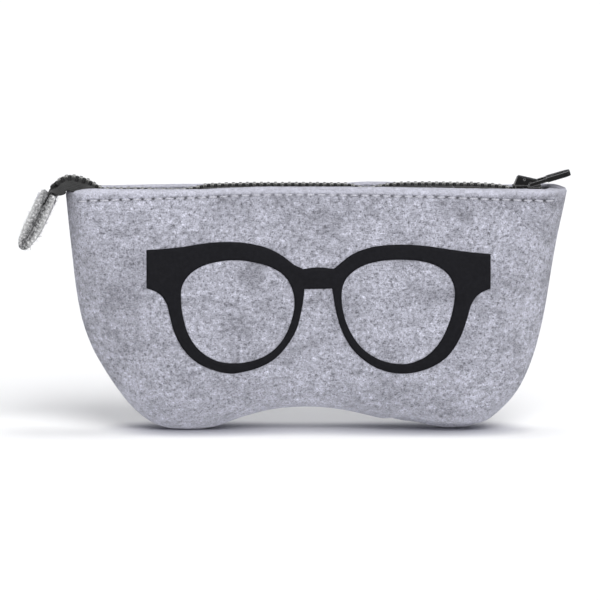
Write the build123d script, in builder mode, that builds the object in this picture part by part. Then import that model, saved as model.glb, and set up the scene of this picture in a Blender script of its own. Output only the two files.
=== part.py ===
from build123d import *
import math
import os

# Zipped felt eyeglasses case. Millimetres. X runs along the zip, -Y is the printed front, +Z is up.
# Origin: on the floor plane, half way along the case, on the plane where the two felt halves meet.
# "Side" is -1 for the front (-Y) and +1 for the back (+Y).

os.makedirs("parts", exist_ok=True)

# ---------------------------------------------------------------- driving dimensions
felt = 2.2                 # thickness of one felt layer
edge_half = 4.2            # half depth of the case at its turned, sewn edge
belly_half = 15.0          # half depth where the case is fullest
mouth_gap = 5.7            # half the clear gap between the two hems
hem_depth = 9.0            # how far the hem is folded down inside
case_top = 93.4            # height of the folded hem
hem_bottom = case_top - hem_depth
seam_allowance = 5.5       # width of the turned-in seam flap
flap_top = hem_bottom - 4  # the seam flap and the side seams end here
crown_r = 237.0            # radius of the belly's curve from mouth to floor
crown_z = 45.0             # height at which the case is fullest
film_t = 0.25              # thickness of the printed motif
film_lift = 0.03           # clearance between the motif and the felt

z_chain = 91.6             # height of the zip chain's middle
pitch = 2.66               # tooth pitch along one tape
tooth_w = 1.22             # tooth width along the zip
tooth_h = 2.5              # tooth height
tape_t = 0.6               # zip tape thickness
cord_r = 0.5               # radius of the cord in the tape's edge
cord_y = 1.5               # cord centre from the zip's centre line
tape_inner = cord_y + cord_r  # where the flat tape starts, from the centre line
tape_outer = 5.5           # where the tape turns down behind the hem
chain_right = 79.0         # last tooth at the closed end
chain_left = -80.5         # where the straight run of the zip ends
tape_right = 88.5          # cut end of the tapes inside the right corner
tape_drop = 81.4           # lower edge of the tapes inside the hems
top_stop_x = 81.2          # top stops beside the last tooth
first_tooth = 0.9          # first tooth's distance along each curved run
tail_teeth_end = 6.9       # the teeth on the tail end before this distance
bottom_stop_at = 8.75      # bottom stop's distance along the tail

slider_x = 80.0            # slider centre with the case closed
slider_len = 11.0
slider_half_throat = 4.7   # half width at the throats, towards +X
slider_half_tail = 3.9     # half width at the tail, towards -X
channel_half = 1.35        # half height of the channel for the teeth
plate_t = 0.95             # slider wing thickness
plate_top = z_chain + channel_half + plate_t
pivot_x, pivot_z = 81.4, 94.25  # axis of the pull's cross bar
pull_angle = 16.6          # the pull's slope above horizontal at rest
pull_len = 15.6            # cross bar to tip
pull_half = 4.0            # half width of the pull
pull_t = 1.4               # thickness of the pull's arms and cross bar
pull_body_t = 1.9          # thickness of the pull beyond the slider
pull_slot = 5.0            # length of the eye
# where the lock prong drops in, between two front teeth
lock_x, lock_y = chain_right - pitch / 2, -1.35

tail_half = 7.5            # half width of the loose tape
tab_top = (-100.7, 91.9)   # x, z of the end tab's upper edge, middle
tab_tip = (-111.1, 69.9)   # x, z of the end tab's folded tip
tab_half_t = 3.15          # half thickness of the folded tab
tab_half_w = 8.5           # half width of the tab across the zip
tab_gap = 1.1              # slot between the tab's two layers

thread_r = 0.28            # hem and tab thread radius
seam_thread_r = 0.22
stitch = 4.0               # stitch pitch

# cutting blocks reach past the case by these sizes
block_x, block_y = 260, 100

sides = ((-1, "front"), (1, "back"))
crown_axis = Location((0, crown_r - belly_half, crown_z), (0, 90, 0))
pivot_axis = Location((pivot_x, 0, pivot_z), (90, 0, 0))

# The case's outline seen from the front, x and z, from the right top corner down, along the two
# lobes with the nose notch between them, and up to the left top corner.
outline_pts = [
    (95.2, 92.6), (92.0, 76.5), (89.4, 60.5), (86.6, 43.5), (83.2, 29.5), (77.6, 16.2), (69.4, 6.2),
    (60.0, 0.7), (51.5, -0.5), (43.0, 0.8), (31.0, 3.9), (17.0, 7.1), (3.0, 9.4), (-11.0, 9.3),
    (-23.0, 7.0), (-33.0, 3.0), (-42.0, -0.1), (-51.0, -0.6), (-59.5, 1.1), (-68.0, 6.4),
    (-76.2, 16.2), (-83.4, 28.2), (-89.0, 42.0), (-91.8, 59.0), (-93.4, 75.0), (-95.0, 91.4),
]

# distances of the lofted rings from the plane where the halves meet
outer_depths = (0.0, 4.2, 7.6, 11.6, 14.4, 16.0)
inner_depths = (0.0, *(depth - felt for depth in outer_depths[1:]))


# ---------------------------------------------------------------- helpers
def save(part, name):
    part.label = name
    export_step(part, f"parts/{name}.step")


def along_x(x, y, z):
    """Location that lays a cylinder along X."""
    return Location((x, y, z), (0, 90, 0))


def mirrored(points):
    """Closes half an outline with its mirror image, the second coordinate negated."""
    return points + [(u, -v) for u, v in reversed(points)]


def station(curve, distance):
    """Location on an x, z curve, turned so that its X follows the curve."""
    t = distance / curve.length
    point, tangent = curve @ t, curve % t
    angle = math.degrees(math.atan2(tangent.Y, tangent.X))
    return Location((point.X, 0, point.Y), (0, -angle, 0))


def stations(curve, first, step, end):
    """Evenly stepped locations on a curve, from first to just before end."""
    places = []
    distance = first
    while distance < end:
        places.append(station(curve, distance))
        distance += step
    return places


# ---------------------------------------------------------------- rings of the felt shell
def smooth(t):
    t = max(0.0, min(1.0, t))
    return t * t * (3 - 2 * t)


def core_point(x, z):
    """Where an outline point ends up on the fully filled belly: on a shrunken copy of the
    outline in the middle, blending into upright flanks towards the sides."""
    blend_start, blend_width = 60.0, 24.0
    flank_x = 62.0
    side_blend = smooth((abs(x) - blend_start) / blend_width)
    flank = (math.copysign(flank_x, x), max(z, 24.0 + 0.30 * z))
    middle = (0.80 * x, 19.0 + 0.25 * z)
    return tuple(m + (f - m) * side_blend for m, f in zip(middle, flank))


def ring(depth, inset):
    """Outline points at one depth, pulled in by inset and then rolled towards the core."""
    roll_power = 2.2
    wall_depth = depth + (inset if depth > 0 else 0)
    fill = (wall_depth - edge_half) / (outer_depths[-1] - edge_half)
    fill = max(0.0, min(1.0, fill))
    roll = 1 - (1 - fill) ** (1 / roll_power)
    pts = []
    for k, (x, z) in enumerate(outline_pts):
        before_x, before_z = outline_pts[max(k - 1, 0)]
        after_x, after_z = outline_pts[min(k + 1, len(outline_pts) - 1)]
        chord = math.hypot(after_x - before_x, after_z - before_z)
        inset_x = x + inset * (after_z - before_z) / chord
        inset_z = z - inset * (after_x - before_x) / chord
        core_x, core_z = core_point(x, z)
        pts.append((inset_x + (core_x - inset_x) * roll, inset_z + (core_z - inset_z) * roll))
    # carry the side edges up past the mouth, leaning out slightly
    corner_z, rim_z, lean = outline_pts[0][1], 99.0, 0.4
    pts[0], pts[-1] = (pts[0][0], corner_z), (pts[-1][0], corner_z)
    return [(pts[0][0] + lean, rim_z)] + pts + [(pts[-1][0] - lean, rim_z)]


# every ring shares the outline's own curve parameters, so the lofts stay light
base_ring = ring(0.0, 0.0)
ring_steps = [math.dist(a, b) for a, b in zip(base_ring, base_ring[1:])]
ring_marks = [sum(ring_steps[:i]) / sum(ring_steps) for i in range(len(ring_steps) + 1)]


def ring_edges(depth, inset):
    """The ring as one spline up both sides and under the lobes, closed by a line over the mouth."""
    pts = ring(depth, inset)
    return [Edge.make_spline([Vector(x, z) for x, z in pts], parameters=ring_marks),
            Edge.make_line(Vector(*pts[-1]), Vector(*pts[0]))]


# ---------------------------------------------------------------- felt halves
def make_half(depths, inset, top):
    """Solid front half: the outline rolled over into the belly, cut to the belly's curve
    and to the heights from inset to top. The cut at z = 0 leaves floor flats under the lobes."""
    with BuildPart() as half:
        for depth in depths:
            with BuildSketch(Plane.XZ.offset(depth)):
                with BuildLine():
                    add(ring_edges(depth, inset))
                make_face()
        loft()
        with Locations(crown_axis):
            Cylinder(crown_r - inset, block_x, mode=Mode.INTERSECT)
        with Locations((0, -block_y / 2, (top + inset) / 2)):
            Box(block_x, block_y, top - inset, mode=Mode.INTERSECT)
    return half.part


def make_seam_flap():
    """Turned-in seam allowance, a flat flap just inside the seam."""
    past_plane, below_floor = 1, 20
    with BuildPart() as flap:
        with BuildSketch(Plane.XZ.offset(-past_plane)):
            with Locations((0, (flap_top - below_floor) / 2)):
                Rectangle(block_x, flap_top + below_floor)
            with BuildLine():
                add(ring_edges(0.0, felt + seam_allowance))
            make_face(mode=Mode.SUBTRACT)
        extrude(amount=felt + past_plane)
    return flap.part


def make_front_panel():
    outer_half = make_half(outer_depths, 0.0, case_top)
    hollow = make_half(inner_depths, felt, hem_bottom)
    seam_flap = make_seam_flap()
    with BuildPart() as clear_hollow:
        add(hollow)
        add(seam_flap, mode=Mode.SUBTRACT)
    mouth_len, mouth_h = 182, 30
    with BuildPart() as panel:
        add(outer_half)
        add(clear_hollow.part, mode=Mode.SUBTRACT)
        # the mouth between the hems, closed only by the side seams
        with Locations((0, 0, flap_top + mouth_h / 2)):
            Box(mouth_len, 2 * mouth_gap, mouth_h, mode=Mode.SUBTRACT)
    return panel.part


def make_back_panel(front_panel):
    """The front panel mirrored, with the front half cut away again."""
    with BuildPart() as panel:
        add(front_panel)
        mirror(about=Plane.XZ)
        with Locations((0, -50, 50)):
            Box(300, 100, 200, mode=Mode.SUBTRACT)
    return panel.part


front_panel = make_front_panel()
save(front_panel, "front_panel")
save(make_back_panel(front_panel), "back_panel")

# ---------------------------------------------------------------- printed glasses motif
# x, z points, seen from the front; left is -X
top_left = [
    (-64.0, 70.5), (-57.8, 70.7), (-50.0, 71.4), (-42.8, 72.5), (-35.5, 73.1), (-28.3, 72.9),
    (-21.2, 71.9), (-16.0, 69.9), (-11.8, 67.4), (-8.1, 64.7), (-5.0, 63.6),
]
bridge_top = [(-5.0, 63.6), (1.0, 64.2), (6.7, 63.6)]
top_right = [
    (6.7, 63.6), (9.7, 66.2), (13.5, 69.0), (18.2, 71.0), (24.0, 72.3), (32.0, 72.7),
    (40.5, 72.3), (48.5, 71.2), (57.0, 70.0), (65.8, 69.2),
]
rim_right = [
    (65.8, 56.2), (62.4, 54.7), (60.0, 52.6), (58.3, 49.3), (57.0, 44.6), (54.3, 37.2),
    (49.8, 30.4), (44.4, 26.4), (37.5, 23.9), (31.5, 23.4), (25.0, 24.7), (19.0, 28.0),
    (13.6, 33.2), (9.6, 40.3), (7.4, 48.0), (6.0, 56.2),
]
rim_left = [
    (-4.4, 56.0), (-5.2, 49.5), (-7.3, 41.0), (-10.8, 34.6), (-15.5, 29.3), (-21.0, 26.0),
    (-27.5, 24.0), (-32.5, 23.7), (-38.5, 25.0), (-44.5, 28.0), (-49.7, 33.2), (-53.3, 39.6),
    (-55.4, 46.2), (-56.4, 50.2), (-58.3, 53.3), (-60.9, 55.2), (-64.0, 56.3),
]
lens_right = [
    (9.6, 53.0), (10.6, 58.6), (14.0, 62.6), (19.0, 65.3), (25.0, 66.7), (32.0, 67.1),
    (39.5, 66.5), (45.5, 64.7), (50.0, 61.2), (52.2, 56.0), (51.8, 49.4), (49.9, 42.4),
    (46.6, 35.6), (41.8, 30.4), (35.8, 27.6), (30.0, 27.3), (23.8, 29.0), (17.8, 33.0),
    (13.4, 38.8), (10.6, 45.8),
]
lens_left = [
    (-51.0, 52.8), (-50.5, 57.2), (-47.8, 61.4), (-43.0, 64.6), (-37.0, 66.3), (-30.5, 66.9),
    (-24.0, 66.2), (-17.6, 64.0), (-12.8, 60.6), (-10.0, 55.8), (-9.2, 50.2), (-10.3, 43.8),
    (-13.0, 37.2), (-17.2, 32.0), (-23.0, 28.6), (-29.6, 27.6), (-36.0, 28.8), (-42.0, 32.6),
    (-46.4, 38.2), (-49.4, 45.2),
]


def make_motif():
    """A thin film that follows the belly's curve on the front."""
    with BuildPart() as film:
        with BuildSketch(Plane.XZ):
            with BuildLine():
                Spline(*top_left)
                Spline(*bridge_top)
                Spline(*top_right)
                Line(top_right[-1], rim_right[0])
                Spline(*rim_right)
                Line(rim_right[-1], rim_left[0])
                Spline(*rim_left)
                Line(rim_left[-1], top_left[0])
            make_face()
            for lens in (lens_right, lens_left):
                with BuildLine():
                    Spline(*lens, periodic=True)
                make_face(mode=Mode.SUBTRACT)
        extrude(amount=2 * belly_half)
        with Locations(crown_axis):
            Cylinder(crown_r + film_t + film_lift, block_x, mode=Mode.INTERSECT)
            Cylinder(crown_r + film_lift, block_x, mode=Mode.SUBTRACT)
    return film.part


save(make_motif(), "glasses_motif")

# ---------------------------------------------------------------- zip paths
# x, z points where the zip climbs out of the mouth over the left corner
rise_pts = [(chain_left, z_chain), (-82.2, 92.15), (-84.2, 93.25), (-86.4, 94.6),
            (-88.1, 95.4), (-89.5, 95.75)]
rise_start, rise_end = (-1, 0), (-1, 0.2)   # x, z tangents
rise_curve = Spline(*rise_pts, tangents=(rise_start, rise_end))
rise_samples = [rise_curve @ (i / 16) for i in range(17)]
climb = [(chain_left + 1.0, z_chain)] + [(point.X, point.Y) for point in rise_samples]
# the tape reaches its full width once it is clear of the hem
wide_from = next(i for i, (x, z) in enumerate(climb) if z > case_top + 0.9)

tab_len = math.dist(tab_top, tab_tip)
tab_dir = ((tab_tip[0] - tab_top[0]) / tab_len, (tab_tip[1] - tab_top[1]) / tab_len)
# x, z points where the loose end bends over, then runs straight down into the end tab
bend_pts = [(-91.8, 96.15), (-93.7, 96.3), (-95.6, 95.9), (-97.4, 94.9), (-98.9, 93.4)]
tail_pts = bend_pts + [(tab_top[0] + tab_dir[0] * d, tab_top[1] + tab_dir[1] * d)
                       for d in (0.0, 4.0, 8.0)]
tail_tangents = ((-1, 0.1), tab_dir)
tail_curve = Spline(*tail_pts, tangents=tail_tangents)


# ---------------------------------------------------------------- zip tapes and cords
def make_tape(side):
    straight_len = tape_right - chain_left
    straight_x = (chain_left + tape_right) / 2
    tape_top = z_chain + tape_t / 2
    with BuildPart() as tape:
        # flat strip between cord and hem, then the strip sewn behind the hem
        with Locations((straight_x, side * (tape_inner + tape_outer) / 2, z_chain)):
            Box(straight_len, tape_outer - tape_inner, tape_t)
        with Locations((straight_x, side * (tape_outer - tape_t / 2), (tape_drop + tape_top) / 2)):
            Box(straight_len, tape_t, tape_top - tape_drop)
        # climbing part: the narrow tape, then the extra width above the hem
        for near_y, far_y, start in ((tape_inner, tape_outer, 0), (5.0, tail_half, wide_from)):
            with BuildSketch(Plane.XZ.offset(-side * near_y)):
                with BuildLine():
                    Polyline(*[(x, z + tape_t / 2) for x, z in climb[start:]],
                             *[(x, z - tape_t / 2) for x, z in climb[start:][::-1]], close=True)
                make_face()
            extrude(amount=-side * (far_y - near_y))
    return tape.part


def make_cord(side):
    y = side * cord_y
    with BuildPart() as cord:
        with BuildLine():
            Line((tape_right, y, z_chain), (chain_left, y, z_chain))
            Spline(*[(x, y, z) for x, z in rise_pts],
                   tangents=[(dx, 0, dz) for dx, dz in (rise_start, rise_end)])
        with BuildSketch(Plane(origin=(tape_right, y, z_chain), z_dir=(-1, 0, 0))):
            Circle(cord_r)
        sweep()
    return cord.part


def make_tape_tail(side):
    with BuildPart() as tape:
        with BuildSketch(Plane.XZ.offset(-side * tape_inner)):
            with BuildLine():
                Spline(*tail_pts, tangents=tail_tangents)
            trace(line_width=tape_t)
        extrude(amount=-side * (tail_half - tape_inner))
    return tape.part


def make_cord_tail(side):
    y = side * cord_y
    (start_x, start_z), (next_x, next_z) = bend_pts[:2]
    with BuildPart() as cord:
        with BuildLine():
            Spline(*[(x, y, z) for x, z in bend_pts])
        with BuildSketch(Plane(origin=(start_x, y, start_z),
                               z_dir=(next_x - start_x, 0, next_z - start_z))):
            Circle(cord_r)
        sweep()
    return cord.part


# ---------------------------------------------------------------- teeth and stops
def make_tooth(side):
    """One tooth at the origin: two legs clamped over tape and cord, and a head past the
    centre line."""
    # half width along X, distance from the centre line on the tooth's own side
    half_profile = [(tooth_w / 2, 2.7), (tooth_w / 2, 0.5), (tooth_w * 0.36, 0.1),
                    (tooth_w / 2, -0.35), (tooth_w * 0.34, -0.7)]
    profile = [(x, side * y) for x, y in half_profile]
    profile += [(-x, y) for x, y in reversed(profile)]
    head_face = 0 if side > 0 else -1
    with BuildPart() as tooth:
        with BuildSketch(Plane.XY.offset(-tooth_h / 2)):
            with BuildLine():
                Polyline(*profile, close=True)
            make_face()
        extrude(amount=tooth_h)
        for level in (0, -1):
            head = tooth.faces().sort_by(Axis.Y)[head_face]
            chamfer(head.edges().group_by(Axis.Z)[level], 0.25)
        with Locations((0, side * 2.4, 0)):
            Box(3, 1.8, tape_t + 0.16, mode=Mode.SUBTRACT)
        with Locations(along_x(0, side * cord_y, 0)):
            Cylinder(cord_r + 0.07, 3, mode=Mode.SUBTRACT)
    return tooth.part


def make_teeth(tooth, places):
    with BuildPart() as teeth:
        with Locations(*places):
            add(tooth)
    return teeth.part


def chain_places(side):
    """Teeth of the straight run and of the climb; the back row is half a pitch behind."""
    shift = 0 if side < 0 else pitch / 2
    count = int((chain_right - chain_left) / pitch) + 1
    places = [Location((chain_right - shift - i * pitch, 0, z_chain)) for i in range(count)]
    return places + stations(rise_curve, first_tooth + shift, pitch * 1.02,
                             rise_curve.length - 0.7)


def tail_places(side):
    step = pitch * 1.1
    shift = 0 if side < 0 else step / 2
    return stations(tail_curve, first_tooth + shift, step, tail_teeth_end)


def make_top_stop(side):
    with BuildPart() as stop:
        with Locations((top_stop_x, side * 1.8, z_chain)):
            Box(1.4, 2.3, tooth_h)
            fillet(stop.edges().filter_by(Axis.Y), 0.3)
        # room for the tape and its cord
        with Locations((top_stop_x, side * 2.5, z_chain)):
            Box(3, 1.6, tape_t, mode=Mode.SUBTRACT)
        with Locations(along_x(top_stop_x, side * cord_y, z_chain)):
            Cylinder(cord_r, 3, mode=Mode.SUBTRACT)
    return stop.part


def make_bottom_stop():
    """A clamp over both tapes' edges."""
    with BuildPart() as stop:
        with Locations(station(tail_curve, bottom_stop_at)):
            Box(1.8, 5.6, tooth_h)
            fillet(stop.edges().filter_by(Axis.Y), 0.3)
            for side, _ in sides:
                with Locations((0, side * 2.5, 0)):
                    Box(4, 1.6, tape_t + 0.3, mode=Mode.SUBTRACT)
                with Locations(along_x(0, side * cord_y, 0)):
                    Cylinder(cord_r + 0.15, 4, mode=Mode.SUBTRACT)
    return stop.part


for side, name in sides:
    tooth = make_tooth(side)
    save(make_tape(side), f"{name}_zip_tape")
    save(make_cord(side), f"{name}_tape_cord")
    save(make_teeth(tooth, chain_places(side)), f"{name}_zip_teeth")
    save(make_top_stop(side), f"{name}_top_stop")
    save(make_tape_tail(side), f"{name}_tape_tail")
    save(make_cord_tail(side), f"{name}_cord_tail")
    save(make_teeth(tooth, tail_places(side)), f"{name}_tail_teeth")
save(make_bottom_stop(), "bottom_stop")

# ---------------------------------------------------------------- felt end tab
# local x runs down the tab, local y through its thickness, local z towards the front
tab_plane = Plane(origin=(tab_top[0], tab_half_w, tab_top[1]),
                  x_dir=(tab_dir[0], 0, tab_dir[1]), z_dir=(0, -1, 0))


def make_end_tab():
    """One strip folded over the tape's end."""
    fold = tab_len - tab_half_t    # where the round fold starts
    past_top = 2
    with BuildPart() as tab:
        with BuildSketch(tab_plane):
            with BuildLine():
                Line((0, -tab_half_t), (fold, -tab_half_t))
                RadiusArc((fold, -tab_half_t), (fold, tab_half_t), -tab_half_t)
                Line((fold, tab_half_t), (0, tab_half_t))
                Line((0, tab_half_t), (0, -tab_half_t))
            make_face()
            # slot between the two layers, with the tape's end inside it
            with Locations(((fold - past_top) / 2, 0)):
                Rectangle(fold + past_top, tab_gap, mode=Mode.SUBTRACT)
        extrude(amount=2 * tab_half_w)
    return tab.part


save(make_end_tab(), "end_tab")


# ---------------------------------------------------------------- sewing threads
def make_tab_stitching():
    """A row of stitches across each face of the tab."""
    stitch_len, row_at, count = 2.6, 4.0, 4
    face_offset = tab_half_t + thread_r + 0.02
    first = tab_half_w - (count - 1) / 2 * stitch - stitch_len / 2
    with BuildPart() as stitching:
        for through in (-face_offset, face_offset):
            for k in range(count):
                start = tab_plane.from_local_coords((row_at, through, first + stitch * k))
                with BuildSketch(Plane(start, x_dir=(1, 0, 0), z_dir=(0, -1, 0))):
                    Circle(thread_r)
                extrude(amount=stitch_len)
    return stitching.part


def crown_depth(z):
    """Half depth of the belly at height z, away from the sides."""
    return belly_half - crown_r + math.sqrt(crown_r ** 2 - (z - crown_z) ** 2)


def make_hem_stitching(side):
    stitch_len, each_way = 2.8, 21
    z = case_top - 3.6
    y = side * (crown_depth(z - 0.3) + thread_r + 0.12)
    with BuildPart() as stitching:
        for k in range(-each_way, each_way + 1):
            start = (stitch * k - stitch_len / 2, y, z)
            with BuildSketch(Plane(origin=start, z_dir=(1, 0, 0))):
                Circle(thread_r)
            extrude(amount=stitch_len)
    return stitching.part


def make_seam_thread():
    """Running stitches round the case inside the turned seam, on the front flap's inner face."""
    seam_in = felt + 2.2
    y = -felt - 0.3
    seam_pts = [Vector(x, y, max(z, seam_in)) for x, z in ring(0.0, seam_in)
                if z < hem_bottom - 4.6]
    with BuildPart() as thread:
        for start, end in zip(seam_pts[:-1], seam_pts[1:]):
            leg = end - start
            count = max(1, round(leg.length / stitch))
            for k in range(count):
                stitch_start = start + leg * ((k + 0.15) / count)
                stitch_end = start + leg * ((k + 0.85) / count)
                along = stitch_end - stitch_start
                with BuildSketch(Plane(origin=stitch_start, z_dir=along)):
                    Circle(seam_thread_r)
                extrude(amount=along.length)
    return thread.part


save(make_tab_stitching(), "tab_stitching")
for side, name in sides:
    save(make_hem_stitching(side), f"{name}_hem_stitching")
save(make_seam_thread(), "seam_thread")


# ---------------------------------------------------------------- slider
def make_slider_body():
    tail_x, throat_x = slider_x - slider_len / 2, slider_x + slider_len / 2
    # the width changes between these two
    taper_start, taper_end = tail_x + 3.6, throat_x - 3.0
    plan = mirrored([
        (tail_x, -slider_half_tail + 0.9), (tail_x + 0.9, -slider_half_tail),
        (taper_start, -slider_half_tail), (taper_end, -slider_half_throat),
        (throat_x - 1.0, -slider_half_throat), (throat_x, -slider_half_throat + 1.1),
    ])
    channel = mirrored([
        (tail_x - 1, -3.1), (taper_start, -3.1), (taper_end, -3.9), (throat_x + 1, -3.9),
    ])
    with BuildPart() as body:
        with BuildSketch(Plane.XY.offset(z_chain - channel_half - plate_t)):
            with BuildLine():
                Polyline(*plan, close=True)
            make_face()
        extrude(amount=2 * (channel_half + plate_t))
        fillet(body.faces().sort_by(Axis.Z)[-1].edges(), 0.45)
        fillet(body.faces().sort_by(Axis.Z)[0].edges(), 0.4)
        # channel for the teeth, open at both ends
        with BuildSketch(Plane.XY.offset(z_chain - channel_half)):
            with BuildLine():
                Polyline(*channel, close=True)
            make_face()
        extrude(amount=2 * channel_half, mode=Mode.SUBTRACT)
        # side slots for the tapes
        with Locations((slider_x, 0, z_chain)):
            Box(slider_len + 4, 20, 0.9, mode=Mode.SUBTRACT)
        # wedge that parts the chain and joins the two wings
        with BuildSketch(Plane.XY.offset(z_chain - channel_half)):
            with BuildLine():
                Polyline((throat_x - 3.6, 0), (throat_x - 2.0, -0.85), (throat_x - 0.5, -0.95),
                         (throat_x - 0.5, 0.95), (throat_x - 2.0, 0.85), close=True)
            make_face()
        extrude(amount=2 * channel_half)
        # side rails are stepped down so that the pull's arms clear them
        rail_step, cut_h = 0.4, 2
        for side, _ in sides:
            with Locations((83.7, side * 4.4, plate_top - rail_step + cut_h / 2)):
                Box(7.0, 4.1, cut_h, mode=Mode.SUBTRACT)
        # hole for the lock pin and a saddle for the pull's cross bar
        with Locations((lock_x, lock_y, plate_top)):
            Box(1.1, 1.5, 3, mode=Mode.SUBTRACT)
        with Locations(pivot_axis):
            Cylinder(pull_t / 2 + 0.12, 20, mode=Mode.SUBTRACT)
    return body.part


def make_slider_cap():
    cap_half, pocket_half, window_half = 2.2, 1.8, 3
    pocket_top, pocket_right = 96.0, 80.55
    bar_clearance = 0.15
    with BuildPart() as cap:
        with BuildSketch(Plane.XZ.offset(-cap_half)) as cap_side:
            with BuildLine():
                Polyline((75.0, plate_top), (76.3, 97.05), (77.0, 97.45), (83.6, 95.95),
                         (84.6, 95.1), (84.9, plate_top), close=True)
            make_face()
            fillet(cap_side.vertices().group_by(Axis.Y)[-1], 0.4)
        extrude(amount=2 * cap_half)
        fillet(cap.edges().filter_by(Axis.Y, reverse=True).group_by(Axis.Z)[-1], 0.35)
        # window for the cross bar, open downward onto the plate
        with BuildSketch(Plane.XZ.offset(-window_half)):
            with Locations((pivot_x, pivot_z)):
                Circle(pull_t / 2 + bar_clearance)
            with Locations((pivot_x, pivot_z - 1.0)):
                Rectangle(pull_t + 2 * bar_clearance, 2.0)
        extrude(amount=2 * window_half, mode=Mode.SUBTRACT)
        # pocket for the lock spring
        with BuildSketch(Plane.XZ.offset(-pocket_half)):
            with BuildLine():
                Polyline((76.0, plate_top), (76.6, pocket_top), (pocket_right, pocket_top),
                         (pocket_right, plate_top), close=True)
            make_face()
        extrude(amount=2 * pocket_half, mode=Mode.SUBTRACT)
        # a dimple on each side
        for side, _ in sides:
            with Locations((79.0, side * 2.35, 96.1)):
                Sphere(0.45, mode=Mode.SUBTRACT)
    return cap.part


def make_lock_pin():
    """Leaf along the pocket, a foot on the wing, and the prong that drops between two teeth."""
    leaf_x, leaf_z, leaf_len, leaf_w = 78.5, 95.0, 3.8, 2.2
    foot_t = 0.5
    foot_bottom, prong_bottom = plate_top + 0.02, z_chain + 0.7
    with BuildPart() as pin:
        with Locations((leaf_x, 0, leaf_z)):
            Box(leaf_len, leaf_w, 0.28)
        with Locations((leaf_x - (leaf_len - foot_t) / 2, 0, (foot_bottom + leaf_z) / 2)):
            Box(foot_t, leaf_w, leaf_z - foot_bottom)
        with Locations((lock_x, lock_y, (prong_bottom + leaf_z) / 2)):
            Box(0.6, 0.7, leaf_z - prong_bottom)
    return pin.part


def make_pull_tab():
    """Built on a sloping plane: local x runs from the cross bar to the tip."""
    slope = math.radians(pull_angle)
    pull_plane = Plane(origin=(pivot_x, 0, pivot_z),
                       x_dir=(math.cos(slope), 0, math.sin(slope)),
                       z_dir=(-math.sin(slope), 0, math.cos(slope)))
    arms_end, body_start = 7.0, 6.4
    window_len, window_w = 5.4, 5.2
    corner_r = 3.0
    corner_x = pull_len - corner_r
    tip_half = 1.0             # half width of the straight end at the tip
    with BuildPart() as pull:
        with BuildSketch(pull_plane.offset(-pull_t / 2)):
            with BuildLine():
                Polyline((0, -pull_half), (arms_end, -pull_half),
                         (arms_end, pull_half), (0, pull_half), close=True)
            make_face()
            # window between the arms, rounded only at the far end
            with Locations((window_len / 2, 0)):
                RectangleRounded(window_len, window_w, 0.6, mode=Mode.SUBTRACT)
            with Locations((2.0, 0)):
                Rectangle(4.0, window_w, mode=Mode.SUBTRACT)
        extrude(amount=pull_t)
        # thicker body with the eye
        with BuildSketch(pull_plane.offset(-pull_body_t / 2)):
            with BuildLine():
                Polyline((body_start, -pull_half), (corner_x, -pull_half))
                RadiusArc((corner_x, -pull_half), (pull_len, -tip_half), -corner_r)
                Line((pull_len, -tip_half), (pull_len, tip_half))
                RadiusArc((pull_len, tip_half), (corner_x, pull_half), -corner_r)
                Polyline((corner_x, pull_half), (body_start, pull_half),
                         (body_start, -pull_half))
            make_face()
            with Locations((pull_len - 2.2 - pull_slot / 2, 0)):
                SlotOverall(pull_slot, 3.6, mode=Mode.SUBTRACT)
        extrude(amount=pull_body_t)
        # round cross bar and round ends of the arms
        with Locations(pivot_axis):
            Cylinder(pull_t / 2, 2 * pull_half)
    return pull.part


save(make_slider_body(), "slider_body")
save(make_slider_cap(), "slider_cap")
save(make_lock_pin(), "lock_pin")
save(make_pull_tab(), "pull_tab")
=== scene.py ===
"""Zipped felt pouch with a printed pair of glasses, built over its CAD pieces.

The pouch stands on the floor (z = 0) with its width along x and its thickness along y, front at -y.
The zip runs along the top; its loose end and felt tab hang off the left end (-x).
"""
import math
import bpy
import bmesh
import numpy as np
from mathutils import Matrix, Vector, noise
from mathutils.geometry import delaunay_2d_cdt


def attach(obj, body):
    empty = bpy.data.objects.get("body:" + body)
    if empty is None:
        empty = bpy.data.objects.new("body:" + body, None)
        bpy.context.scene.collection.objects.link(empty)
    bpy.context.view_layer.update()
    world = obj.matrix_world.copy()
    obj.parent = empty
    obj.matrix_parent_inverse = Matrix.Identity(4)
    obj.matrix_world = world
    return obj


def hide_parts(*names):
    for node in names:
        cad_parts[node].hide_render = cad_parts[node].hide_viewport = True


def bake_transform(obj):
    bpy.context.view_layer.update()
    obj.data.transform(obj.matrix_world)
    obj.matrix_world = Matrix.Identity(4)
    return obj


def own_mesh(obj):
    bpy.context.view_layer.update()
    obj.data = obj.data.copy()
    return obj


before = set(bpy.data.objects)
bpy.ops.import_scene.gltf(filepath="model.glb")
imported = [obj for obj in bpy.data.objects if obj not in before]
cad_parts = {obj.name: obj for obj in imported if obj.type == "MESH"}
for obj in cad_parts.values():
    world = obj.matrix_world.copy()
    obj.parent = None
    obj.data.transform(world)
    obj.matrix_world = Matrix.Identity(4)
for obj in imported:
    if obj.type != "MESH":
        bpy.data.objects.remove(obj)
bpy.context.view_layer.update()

MM = 0.001
SIDES = ((-1, "front"), (1, "back"))      # sign of y, and the name it goes by

tooth_jitter = np.random.default_rng(7)


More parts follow.
